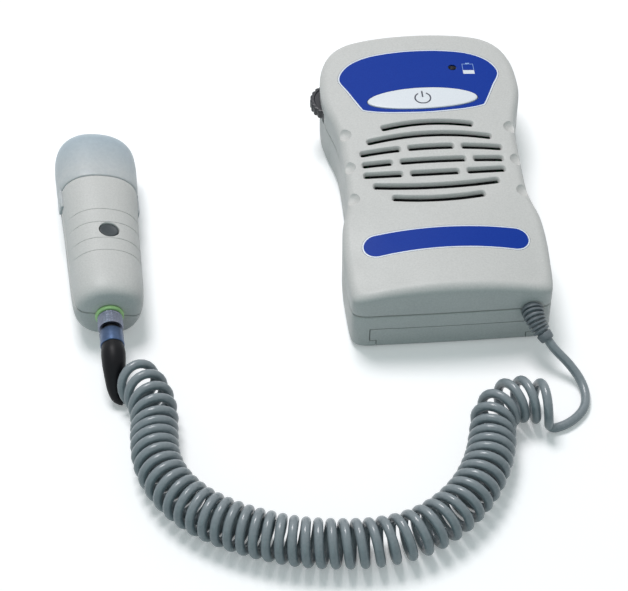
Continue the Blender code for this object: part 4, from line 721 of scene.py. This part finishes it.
SCOOP_R = 4.2
SCOOP_AT = (33.6, (14.0, -4.6, -22.0), 31.6)
scoop_tools = []
for sign in (1, -1):
    for y in SCOOP_AT[1]:
        bpy.ops.object.select_all(action="DESELECT")
        bpy.ops.mesh.primitive_uv_sphere_add(
            segments=48, ring_count=24, radius=SCOOP_R * MM,
            location=(sign * SCOOP_AT[0] * MM, y * MM, SCOOP_AT[2] * MM))
        bpy.ops.object.transform_apply(location=True, rotation=True, scale=True)
        scoop_tools.append(bpy.context.object)
carve(top_shell, [together(scoop_tools)])

OVERLAY_HALF = (
    (0.0, 60.9), (11.0, 60.4), (20.4, 58.9), (26.5, 56.2), (30.5, 52.4), (32.6, 46.7),
    (29.4, 38.4), (25.3, 28.5), (24.4, 26.9), (18.0, 24.7), (10.0, 23.5), (0.0, 22.9))
overlay_loop = [(x, y, 0.0) for x, y in OVERLAY_HALF]
overlay_loop += [(-x, y, 0.0) for x, y in OVERLAY_HALF[-2:0:-1]]
overlay_line = [(p.x, p.y) for p in smooth_line(overlay_loop, 6, closed=True)]
STRIP_R = 5.75
STRIP_HALF = 25.75


def strip_y(x):
    """The strip's middle line, bowed like the front end."""
    return -46.3 - 1.9 * (x / 31.5) ** 2


strip_line = []
for sign in (1, -1):
    for k in range(25):
        x = sign * (-STRIP_HALF + 2 * STRIP_HALF * k / 24)
        strip_line.append((x, strip_y(x) - sign * STRIP_R))
    for k in range(1, 12):
        turn = -sign * math.pi / 2 + math.pi * k / 12
        strip_line.append((sign * STRIP_HALF + STRIP_R * math.cos(turn),
                           strip_y(STRIP_HALF) + STRIP_R * math.sin(turn)))


def crowned_slab(name, outline, high, low, xs, ys, border=0.0):
    """A sheet that lies on the crown, with flat-cut edges and, if asked, a ring for a border."""
    rows = flat_rows(outline, (low, high))
    if border > 0:
        rows += flat_rows(grown(outline, -border), (high,))
    slab = pull_rows(name, rows)
    strip_cuts(slab, lambda x, y: high, xs, ys, up=True)
    strip_cuts(slab, lambda x, y: low, xs, ys, up=False)
    for vert in slab.data.vertices:
        vert.co.z += (crown_z(vert.co.x / MM, vert.co.y / MM) - HEIGHT) * MM
    return slab


FILM_GAP = 0.12
KEY_HALF = (22.0, 6.2)
KEY_Y = 31.5
LAMP_AT = (14.0, 49.5)
overlay_xs = [-30 + 4 * k for k in range(16)]
strip_xs = [-28 + 4 * k for k in range(15)]
strip_ys = [-54 + 2.5 * k for k in range(6)]
for line, xs, ys in ((overlay_line, overlay_xs, (42.0,)), (strip_line, strip_xs, strip_ys)):
    carve(top_shell, [crowned_slab("bed", grown(line, FILM_GAP), 33.0, 30.2, xs, ys)])
key_line = [(KEY_HALF[0] * math.cos(math.tau * k / 72),
             KEY_Y + KEY_HALF[1] * math.sin(math.tau * k / 72)) for k in range(72)]


def film_holes():
    """Tools for the key's opening and the lamp's window, through film and shell alike."""
    return [pull_rows("key_hole", flat_rows(grown(key_line, 0.3), (24.0, 34.0))),
            rod(*LAMP_AT, 1.7, (24.0, 34.0))]


carve(top_shell, film_holes() + [block((-43.0, -33.5), (34.3, 53.7), (10.0, 22.4))])
OUTLET_AT = (29.3, 17.4)
OUTLET_R = 3.3
outlet_rows = [[Vector((OUTLET_AT[0] + OUTLET_R * math.cos(math.tau * k / 40), y,
                        OUTLET_AT[1] + OUTLET_R * math.sin(math.tau * k / 40))) * MM
                for k in range(40)] for y in (-80.0, -66.0)]
carve(top_shell, [pull_rows("outlet", outlet_rows)])
smooth_skin(top_shell, 30)
shell_look = moulded("warm_grey_casing", (215, 214, 211), (204, 203, 200), 0.44, 0.56, 1500.0,
                     0.00006, soil=0.955)
settle(top_shell, shell_look, "handset", "shell_plastic", "top_shell")

FLOOR_FILLET = 2.5


def case_bottom(name):
    """The lower half of the case as one tray, which shell and door are both cut from."""
    rows = [case_row(FLOOR_FILLET, height=0.0)]
    for k in range(1, 7):
        turn = math.pi / 2 * k / 6
        rows.append(case_row(FLOOR_FILLET * (1 - math.sin(turn)),
                             height=FLOOR_FILLET * (1 - math.cos(turn))))
    for inset, height in ((0.0, 16.0), (0.08, 16.35), (0.22, 16.58), (0.4, 16.68), (0.7, 16.72),
                          (1.3, 16.72), (1.3, 18.4), (2.2, 18.4), (2.2, 3.6), (2.6, 2.6),
                          (3.6, 2.2)):
        rows.append(case_row(inset, height=height))
    return pull_rows(name, rows)


def door_block(more):
    """The room that the battery door takes, wider above its runners."""
    low_x = 28.0 + more
    high_x = 30.4 + more
    section = ((-low_x, -5.0), (low_x, -5.0), (low_x, 4.5 - more), (high_x, 4.5 - more),
               (high_x, 10.3 + more), (-high_x, 10.3 + more), (-high_x, 4.5 - more),
               (-low_x, 4.5 - more))
    return pull_rows("door_block", [[Vector((x, y, z)) * MM for x, z in section]
                                    for y in (-90.0, -38.8 + more)])


bottom_shell = case_bottom("bottom_shell_tray")
carve(bottom_shell, [door_block(0.3)])
screw_places = [(x * side, y) for x, y in ((28.5, 60.0), (31.0, -33.0)) for side in (1, -1)]
posts = [rod(x, y, 3.2, (1.1, 16.0)) for x, y in screw_places]
posts += [block((-36.2, 36.2), (-38.2, -36.7), (2.0, 16.0))]
posts += [block(xs, (-69.8, -39.2), (2.0, 4.7)) for xs in ((28.7, 31.0), (-31.0, -28.7))]
for post in posts:
    carve(bottom_shell, [post], "UNION")
sinks = [rod(x, y, 2.25, (-5.0, 11.0)) for x, y in screw_places]
shanks = [rod(x, y, 1.5, (10.0, 30.0)) for x, y in screw_places]
carve(bottom_shell, [together(sinks), together(shanks), pull_rows("outlet", outlet_rows),
                     block((-43.0, -33.5), (33.6, 54.4), (16.6, 30.0))])
smooth_skin(bottom_shell, 30)
settle(bottom_shell, shell_look, "handset", "shell_plastic", "bottom_shell")


# Battery door. Cut from the same moulding as the lower shell, it wraps round the front corner
# and slides straight out on two runners, so only a hair line shows where it ends.
door = case_bottom("battery_door_cover")
carve(door, [door_block(0.0)], "INTERSECT")
for side in (1, -1):
    carve(door, [block(sorted((side * 26.4, side * 27.7)), (-69.6, -41.0), (2.0, 6.4))], "UNION")
    carve(door, [block(sorted((side * 26.9, side * 30.1)), (-69.1, -41.5), (5.05, 6.2))], "UNION")
smooth_skin(door, 30)
settle(door, shell_look, "door", "shell_plastic", "battery_door")


# Keypad overlay. A polyester film printed blue on its back, with a fine pale line round
# its edge, glued into a shallow bed of the upper shell.
def bordered(piece, edge_look):
    """Gives the ring of faces along a film's edge a second colour."""
    piece.data.materials.append(edge_look)
    rim = {v for face in piece.data.polygons if abs(face.normal.z) < 0.5 for v in face.vertices}
    for face in piece.data.polygons:
        if face.normal.z > 0.8 and any(v in rim for v in face.vertices):
            face.material_index = 1


blue_look = moulded("printed_blue_film", (14, 60, 162), (11, 54, 155), 0.42, 0.52, 1800.0, 0.00002,
                    soil=0.97, specular=0.12)
# A pale ring of faces along each film's top edge.
line_look = moulded("pale_edge_line", (240, 245, 252), (232, 238, 248), 0.3, 0.4, 1800.0,
                    0.00002)
overlay = crowned_slab("keypad_film", overlay_line, 31.0, 30.45, overlay_xs, (42.0,), 0.6)
settle(overlay, blue_look, "handset", "blue_panel", "keypad_overlay")
bordered(overlay, line_look)
carve(overlay, film_holes())
smooth_skin(overlay, 30)


# Blue strip. The same film as the keypad's, glued near the front end. The maker's print that
# such a strip can carry is left off, so it is bare.
strip = crowned_slab("front_strip_film", strip_line, 31.0, 30.45, strip_xs, strip_ys, 0.55)
settle(strip, blue_look, "handset", "blue_panel", "badge_strip")
bordered(strip, line_look)
smooth_skin(strip, 30)


# Power key. One pale oval plate of moulded plastic in a hole of the film, free to sink a
# little under the thumb, with the usual power symbol printed in dark grey.
def key_row(grow, lift):
    """The key's oval, grown or drawn in, at a height over the crown."""
    row = []
    for x, y in key_line:
        kx = x * (1 + grow / KEY_HALF[0])
        ky = KEY_Y + (y - KEY_Y) * (1 + grow / KEY_HALF[1])
        row.append(Vector((kx, ky, crown_z(kx, ky) + lift)) * MM)
    return row


KEY_SIDE = ((-0.9, 0.4), (-0.45, 0.36), (-0.18, 0.25), (-0.04, 0.1), (0.0, -0.1), (0.0, -2.7),
            (1.2, -2.7), (1.2, -3.5))
key_rows = [key_row(grow, lift) for grow, lift in KEY_SIDE]
power_key = pull_rows("power_key_plate", key_rows)
key_xs = [-20 + 4 * k for k in range(11)]
strip_cuts(power_key, lambda x, y: crown_z(x, y) + 0.4, key_xs, (KEY_Y,))
strip_cuts(power_key, lambda x, y: crown_z(x, y) - 3.5, key_xs, (KEY_Y,), up=False)
smooth_skin(power_key, 30)
key_look = moulded("pale_key_plastic", (240, 243, 248), (232, 236, 242), 0.36, 0.46, 1600.0,
                   0.00003, soil=0.97)
settle(power_key, key_look, "power_key", "key_plastic", "power_button")
ink_look = moulded("dark_grey_ink", (62, 66, 82), (54, 58, 74), 0.45, 0.55, 2000.0, 0.00001)


def printed(name, loops, lift, look, body, slot):
    """Print laid on the crown: each loop of points becomes one thin flat mark."""
    prints = []
    for loop in loops:
        rows = [[Vector((x, y, crown_z(x, y) + z)) * MM for x, y in loop]
                for z in (lift - 0.04, lift + 0.03)]
        prints.append(pull_rows(name, rows))
    mark = together(prints)
    mark.name = name
    smooth_skin(mark, 30)
    settle(mark, look, body, slot)


def arc_bar(r_in, r_out, turn_from, turn_to):
    """One bowed bar of the power symbol, as a loop of points."""
    outer = []
    inner = []
    for k in range(ARC_STEPS + 1):
        turn = math.radians(turn_from + (turn_to - turn_from) * k / ARC_STEPS)
        outer.append((r_out * math.cos(turn), POWER_Y + r_out * math.sin(turn)))
        inner.append((r_in * math.cos(turn), POWER_Y + r_in * math.sin(turn)))
    return outer + inner[::-1]


def bar_loop(xs, ys):
    """The corners of a straight bar."""
    return [(xs[0], ys[0]), (xs[1], ys[0]), (xs[1], ys[1]), (xs[0], ys[1])]


ARC_STEPS = 28
POWER_Y = 31.2
POWER_R = 3.1
POWER_LINE = 0.3
power_loops = [arc_bar(POWER_R - POWER_LINE, POWER_R + POWER_LINE, turn, turn + 150)
               for turn in (120, 270)]
power_loops.append(bar_loop((-POWER_LINE, POWER_LINE), (31.7, 35.3)))
printed("power_symbol", power_loops, 0.4, ink_look, "power_key", "key_plastic")


# Battery mark and lamp window. A small standing cell, white where it is filled, is printed on
# the film beside the round window of the low battery lamp.
white_look = moulded("white_print", (240, 244, 250), (230, 236, 246), 0.3, 0.4, 1800.0, 0.00001)
CELL_X = (18.1, 22.7)
CELL_Y = (45.5, 47.7, 51.3)
CELL_LINE = 0.2
CELL_CAP = (19.6, 21.2)
cell_loops = [
    bar_loop(CELL_X, CELL_Y[:2]),
    bar_loop((CELL_X[0], CELL_X[0] + CELL_LINE), (CELL_Y[1] + 0.1, CELL_Y[2])),
    bar_loop((CELL_X[1] - CELL_LINE, CELL_X[1]), (CELL_Y[1] + 0.1, CELL_Y[2])),
    bar_loop(CELL_X, (CELL_Y[2] + 0.05, CELL_Y[2] + 0.3)),
    bar_loop(CELL_CAP, (CELL_Y[2] + 0.35, CELL_Y[2] + 0.9))]
outline_look = moulded("pale_blue_print", (150, 186, 236), (138, 176, 230), 0.3, 0.4, 1800.0,
                       0.00001)
printed("battery_charge", cell_loops[:1], 0.0, white_look, "handset", "key_plastic")
printed("battery_outline", cell_loops[1:], 0.0, outline_look, "handset", "key_plastic")
LAMP_SIDE = ((1.9, 25.4), (1.9, 26.3), (1.4, 26.3), (1.4, 29.9), (1.3, 30.25), (1.0, 30.5),
             (0.5, 30.66), (0.1, 30.7))
lamp_rows = [disc_row(*LAMP_AT, radius, level) for radius, level in LAMP_SIDE]
lamp = pull_rows("unlit_lamp_dome", lamp_rows)
smooth_skin(lamp, 40)
lamp_look = moulded("unlit_lamp_resin", (30, 28, 36), (24, 22, 31), 0.5, 0.6, 900.0, 0.00001,
                    specular=0.15)
settle(lamp, lamp_look, "handset", "lamp_amber", "low_battery_led")


# Volume wheel. A black thumb wheel with rounded teeth, turned on edge through the left side,
# where a thumb rolls it. Its upper face is dished inside the rim.
WHEEL_AT = (-34.3, 44.0)
WHEEL_R = 9.7
WHEEL_BORE = 1.85
WHEEL_TEETH = 24
TOOTH = 0.5
WHEEL_STEPS = 240
WHEEL_SIDE = ((-7.85, 18.0), (-0.8, 18.0), (-0.3, 18.08), (-0.05, 18.3), (0.0, 18.6), (0.0, 21.4),
              (-0.05, 21.7), (-0.3, 21.92), (-0.8, 22.0), (-1.6, 22.0), (-1.9, 21.7),
              (-7.85, 21.7), (-7.85, 18.0))
wheel_rows = []
for grow, level in WHEEL_SIDE:
    row = []
    for k in range(WHEEL_STEPS):
        turn = math.tau * k / WHEEL_STEPS
        tooth = 0.5 - 0.5 * math.cos(WHEEL_TEETH * turn)
        radius = WHEEL_R + grow - (TOOTH * tooth ** 1.6 if grow > -1.0 else 0.0)
        if grow < -7:
            radius = WHEEL_BORE
        row.append(Vector((WHEEL_AT[0] + radius * math.cos(turn),
                           WHEEL_AT[1] + radius * math.sin(turn), level)) * MM)
    wheel_rows.append(row)
wheel = pull_rows("volume_thumb_wheel", wheel_rows, capped=False)
smooth_skin(wheel, 40)
wheel_look = moulded("black_wheel_plastic", (26, 29, 38), (20, 23, 30), 0.32, 0.46, 1200.0,
                     0.00003)
settle(wheel, wheel_look, "wheel", "black_plastic", "volume_wheel")


# Shells of the probe. Two halves of the same grey plastic meet in a plane along the probe's
# sides. They are rounded off at the cord end and step down to a neck that the cap covers.
PROBE = (Matrix.Translation(Vector((-126.5, -60.0, 13.5)) * MM)
         @ Matrix.Rotation(math.radians(3.5), 4, "Z") @ Matrix.Rotation(math.radians(14.0), 4, "Y"))
SQUARISH = 2 / 2.3


def probe_point(x, y, z):
    """A point given along the probe, set down where the probe lies."""
    return PROBE @ (Vector((x, y, z)) * MM)


def probe_round(turn, a, b):
    """A point on the probe's rounded-square section."""
    c = math.cos(turn)
    s = math.sin(turn)
    return (a * math.copysign(abs(c) ** SQUARISH, c), b * math.copysign(abs(s) ** SQUARISH, s))


probe_out = [tuple(p) for p in smooth_line(
    ((0.0, 8.6, 8.6), (0.5, 10.5, 10.5), (2.0, 12.0, 12.0), (5.0, 12.9, 12.9), (24.0, 13.8, 13.0),
     (40.0, 14.15, 13.0), (52.0, 14.7, 13.0), (61.2, 15.0, 12.9)), 6)]
profile = [(0.0, 5.0, 5.0), (0.0, 7.2, 7.2)] + probe_out
profile += [(61.5, 14.9, 12.8), (61.7, 14.6, 12.5), (61.7, 13.2, 10.8), (69.6, 13.2, 10.8),
            (70.0, 12.9, 10.5), (70.0, 11.5, 9.1), (60.0, 11.5, 9.1), (57.0, 12.9, 11.0),
            (52.0, 12.9, 11.2), (24.0, 12.0, 11.2), (6.0, 11.1, 11.1), (3.0, 10.2, 10.2),
            (2.0, 8.6, 8.6), (2.0, 5.0, 5.0)]
HALF_STEPS = 48
GROOVES = (21.0, 27.5, 36.0, 43.0)
GROOVE_STEPS = ((-0.24, 0.0), (-0.1, 0.2), (0.1, 0.2), (0.24, 0.0))
SEAM_INSET = 0.45


def probe_station(y):
    """Half width and half height of the probe at a place along it."""
    for (y0, a0, b0), (y1, a1, b1) in zip(probe_out, probe_out[1:]):
        if y0 <= y <= y1:
            t = (y - y0) / (y1 - y0)
            return a0 + (a1 - a0) * t, b0 + (b1 - b0) * t
    return probe_out[-1][1:]


stations = [(y, a, b, 0.0) for y, a, b in profile]
for groove in GROOVES:
    for step, deep in GROOVE_STEPS:
        spot = next(i for i, known in enumerate(stations) if known[0] > groove + step)
        stations.insert(spot, (groove + step, *probe_station(groove + step), deep))
outer_count = max(i for i, known in enumerate(stations) if known[0] == 61.7) + 1


def probe_half(name, sign):
    """One half shell, pulled round from one parting edge to the other."""
    places = [(0.0, 0.18, SEAM_INSET), (0.0, 0.42, 0.0)]
    places += [(math.pi * k / HALF_STEPS, 0.42, 0.0) for k in range(1, HALF_STEPS)]
    places += [(math.pi, 0.42, 0.0), (math.pi, 0.18, SEAM_INSET)]
    rows = []
    for turn, least, inset in places:
        fade = min(1.0, max(0.0, (math.sin(turn) - 0.3) / 0.3)) if sign > 0 else 0.0
        row = []
        for i, (y, a, b, deep) in enumerate(stations):
            drawn_in = deep * fade + (inset if 0 < i < outer_count else 0.0)
            x, z = probe_round(turn, a - drawn_in, b - drawn_in)
            behind = inset if 0 < i < outer_count and y < 2.0 else 0.0
            row.append(probe_point(x, y + behind, sign * max(least, z)))
        rows.append(row)
    return pull_rows(name, rows)


def probe_block(xs, ys, zs):
    """A square-cornered tool that lies with the probe."""
    tool = block(xs, ys, zs)
    for vert in tool.data.vertices:
        vert.co = PROBE @ vert.co
    return tool


def push_row(grow, z):
    """The button's oval, grown or drawn in, at a height over the probe's middle."""
    return [probe_point((3.6 + grow) * math.cos(math.tau * k / 48),
                        32.0 + (3.2 + grow) * math.sin(math.tau * k / 48), z) for k in range(48)]


probe_top = probe_half("probe_upper_shell", 1)
probe_low = probe_half("probe_lower_shell", -1)
PUSH_HOLE = ((0.3, 2.0), (0.3, 12.45), (0.42, 12.75), (0.75, 13.05), (0.75, 16.0))
flare = [push_row(grow, z) for grow, z in PUSH_HOLE]
carve(probe_top, [pull_rows("push_hole", flare)])
for side in (1, -1):
    for half in (probe_top, probe_low):
        carve(half, [probe_block(sorted((side * 13.7, side * 17.0)), (52.6, 62.4), (-3.1, 3.1))])
smooth_skin(probe_top, 30)
smooth_skin(probe_low, 30)
settle(probe_top, shell_look, "probe", "shell_plastic", "probe_top_shell")
settle(probe_low, shell_look, "probe", "shell_plastic", "probe_bottom_shell")


# Probe button. A small oval of black rubbery plastic, dished for the thumb, in a flared hole
# of the probe's upper shell. It stands only just proud of the shell round it.
PUSH_SIDE = ((-3.0, 12.3), (-2.0, 12.32), (-1.0, 12.45), (-0.45, 12.6), (-0.12, 12.5), (0.0, 12.2),
             (0.0, 10.0), (1.0, 10.0), (1.0, 9.2))
push = pull_rows("probe_push_button", [push_row(grow, z) for grow, z in PUSH_SIDE])
smooth_skin(push, 40)
push_look = moulded("black_push_rubber", (48, 58, 62), (40, 50, 54), 0.38, 0.5, 1500.0, 0.00003)
settle(push, push_look, "probe_key", "black_plastic", "probe_button")


# Probe cap. A frosted cover moulded in thin plastic, pushed over the neck and the ultrasound
# face. Painted shade makes it paler by the rim, where the neck lies behind it, and bluer and
# darker towards the hollow tip. Two short tongues run down from its rim into notches of the shells.
CAP_STEPS = 96
cap_out = [tuple(p) for p in smooth_line(
    ((90.5, 6.0, 5.0), (89.7, 10.4, 8.6), (87.5, 13.4, 11.0), (84.0, 15.2, 12.5),
     (78.5, 15.85, 13.0), (72.0, 15.85, 13.0), (64.0, 15.6, 13.0), (62.5, 15.3, 12.95)), 5)]
cap_stations = [(90.5, 2.0, 1.6)] + cap_out
cap_stations += [(62.15, 15.1, 12.7), (62.0, 14.7, 12.3), (62.0, 14.0, 11.5), (62.3, 13.7, 11.25),
                 (64.0, 13.9, 11.3), (72.0, 14.2, 11.4), (78.5, 14.2, 11.4), (83.2, 13.4, 10.8),
                 (86.3, 11.6, 9.4), (88.2, 8.6, 7.0), (88.8, 5.0, 4.0)]
cap_rows = []
for y, a, b in cap_stations:
    row = []
    for k in range(CAP_STEPS):
        x, z = probe_round(math.tau * k / CAP_STEPS, a, b)
        row.append(probe_point(x, y, z))
    cap_rows.append(row)
cap = pull_rows("probe_cap_frosted", cap_rows)


def tongue(side):
    """One tongue of the cap, rounded at its tip."""
    loop = [(-2.6, 63.6), (-2.6, 54.6), (-2.25, 53.75), (-1.4, 53.25), (1.4, 53.25), (2.25, 53.75),
            (2.6, 54.6), (2.6, 63.6)]
    rows = [[probe_point(side * x, y, z) for z, y in loop] for x in (14.0, 15.3)]
    rows.append([probe_point(side * 15.5, 58.4 + (y - 58.4) * 0.95, z * 0.9) for z, y in loop])
    return pull_rows("tongue", rows)


for side in (1, -1):
    carve(cap, [tongue(side)], "UNION")
smooth_skin(cap, 35)
cap_look = moulded("frosted_cap_plastic", (205, 208, 209), (196, 200, 202), 0.32, 0.42, 700.0,
                   0.00003)
# Painted shade: the cap's colour is multiplied by this pale blue more and more towards its tip, so
# it reads paler near the rim and bluer and darker where it is hollow.
CAP_TIP_SHADE = (222, 236, 246)
cap_tree = cap_look.node_tree
cap_inputs = cap_tree.nodes["Principled BSDF"].inputs
cap_solid = cap_inputs["Base Color"].links[0].from_socket
cap_axes = node_in(cap_tree, "SeparateXYZ",
                   Vector=node_in(cap_tree, "TexCoord").outputs["Object"])
cap_shade_share = node_in(cap_tree, "MapRange", Value=cap_axes.outputs["Y"], From_Min=0.006,
                    From_Max=0.024)
cap_shaded_colour = colour_mix(cap_tree, cap_shade_share.outputs["Result"], cap_solid, tint(*CAP_TIP_SHADE),
                        "MULTIPLY")
for label, value in (("Base Color", cap_shaded_colour), ("Subsurface Weight", 0.25),
                     ("Subsurface Radius", (0.003, 0.0035, 0.004)), ("Subsurface Scale", 1.0)):
    feed(cap_tree, cap_inputs[label], value)
settle(cap, cap_look, "cap", "cap_plastic", "probe_cap")


# Socket ring and plug. A green snap ring marks the probe's socket. The round plug has a
# knurled release sleeve and a smooth barrel, both turned in brass and nickel plated.
def turned(name, stations, count, knurl=0.0, teeth=0):
    """A hollow part turned round the probe's own axis, knurled where a station says so."""
    rows = []
    for y, radius, bite in stations:
        row = []
        for k in range(count):
            turn = math.tau * k / count
            r = radius - knurl * bite * (0.5 - 0.5 * math.cos(teeth * turn))
            row.append(probe_point(r * math.cos(turn), y, r * math.sin(turn)))
        rows.append(row)
    return pull_rows(name, rows, capped=False)


ring = turned("green_socket_ring", (
    (2.2, 3.5, 0), (2.2, 4.7, 0), (-0.35, 4.7, 0), (-0.35, 5.2, 0), (-0.5, 5.35, 0),
    (-1.0, 5.35, 0), (-1.3, 5.25, 0), (-1.5, 4.95, 0), (-1.5, 3.9, 0), (-1.3, 3.5, 0),
    (2.2, 3.5, 0)), 64)
smooth_skin(ring, 35)
green_look = moulded("green_ring_plastic", (206, 250, 172), (196, 244, 162), 0.3, 0.4, 1200.0,
                     0.00002)
settle(ring, green_look, "probe", "green_plastic", "socket_ring")

SLEEVE_BANDS = 6
sleeve_stations = [(-7.5, 3.4, 0), (-7.5, 4.4, 0), (-7.35, 4.6, 0)]
band = (7.2 - 2.0) / SLEEVE_BANDS
for k in range(SLEEVE_BANDS):
    y = -7.2 + band * k
    sleeve_stations += [(y, 4.22, 0), (y + band * 0.25, 4.6, 1), (y + band * 0.45, 4.75, 1),
                        (y + band * 0.65, 4.75, 1), (y + band * 0.85, 4.6, 1)]
sleeve_stations += [(-1.95, 4.55, 0), (-1.8, 4.4, 0), (-1.8, 3.4, 0), (-7.5, 3.4, 0)]
sleeve = turned("knurled_sleeve", sleeve_stations, 144, knurl=0.13, teeth=24)
smooth_skin(sleeve, 30)
barrel = turned("plug_barrel_tube", (
    (-16.0, 3.35, 0), (-16.0, 4.2, 0), (-15.8, 4.45, 0), (-10.0, 4.45, 0), (-9.7, 4.35, 0),
    (-9.35, 4.15, 0), (-9.3, 3.9, 0), (-9.3, 3.35, 0), (-16.0, 3.35, 0)), 64)
smooth_skin(barrel, 30)
metal_look = moulded("nickel_plating", (138, 143, 158), (120, 126, 142), 0.28, 0.38, 600.0,
                     0.00001, metal=1.0, soil=0.92)
# Painted reflection: the barrel's nickel plating is tinted dark blue for the blue surroundings that
# it reflects.
barrel_look = moulded("barrel_plating_painted_reflection", (82, 100, 130), (70, 88, 118), 0.3, 0.42, 600.0,
                      0.00001, metal=1.0, soil=0.9)
settle(sleeve, metal_look, "sleeve", "plug_metal", "plug_sleeve")
settle(barrel, barrel_look, "handset", "plug_metal", "plug_barrel")


# Plug boot. A black rubber boot, fat where it grips the barrel, thinning as it bends down to
# the table and turns towards the first curl.
plug_line = smooth_line(PLUG_ROUTE, 8) + [plug_tip]
plug_radii = [p.x for p in smooth_line(
    [(r, 0.0, 0.0) for r in (4.2, 4.5, 4.3, 3.6, 3.0, 2.5, 2.3)], 8)] + [2.3]
plug_first = (PROBE.to_3x3() @ Vector((0.0, -1.0, 0.0))).normalized()
boot = pull_rows("plug_boot_rubber", round_rows(plug_line, plug_radii, 40, plug_first))
smooth_skin(boot, 40)
boot_look = moulded("black_boot_rubber", (14, 16, 20), (10, 11, 15), 0.4, 0.55, 900.0, 0.00004,
                    specular=0.16)
settle(boot, boot_look, "handset", "boot_rubber", "plug_boot")


# Pieces inside. They stay as the CAD has them, each in the finish of its own stuff: printed
# circuit boards, steel screws, the speaker's paper, the battery's printed steel jacket.
inner_looks = {
    "board_green": moulded("green_circuit_board", (28, 104, 62), (22, 92, 54), 0.4, 0.55, 500.0,
                           0.00002),
    "screw_steel": moulded("zinc_plated_steel", (176, 178, 180), (158, 160, 164), 0.25, 0.4,
                           1500.0, 0.00001, metal=1.0),
    "speaker_paper": moulded("speaker_paper_black", (30, 30, 32), (22, 22, 24), 0.8, 0.95, 900.0,
                             0.00006),
    "crystal_ceramic": moulded("crystal_ceramic_pale", (206, 198, 176), (192, 184, 160), 0.5, 0.6,
                               1200.0, 0.00002),
    "lens_resin": moulded("lens_resin_grey", (136, 142, 150), (124, 130, 138), 0.25, 0.35, 900.0,
                          0.00001),
    "battery_jacket": moulded("battery_jacket_print", (58, 60, 66), (48, 50, 56), 0.3, 0.42, 300.0,
                              0.00002),
    "black_plastic": moulded("black_inner_plastic", (30, 31, 34), (24, 25, 28), 0.4, 0.55, 900.0,
                             0.00003),
    "plug_metal": metal_look,
}
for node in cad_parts:
    part = bpy.data.objects.get(node if isinstance(node, str) else node["name"])
    if part is None:
        continue
    for place in part.material_slots:
        kind = place.material.name.split(".")[0] if place.material else ""
        if kind in inner_looks:
            place.material = inner_looks[kind]
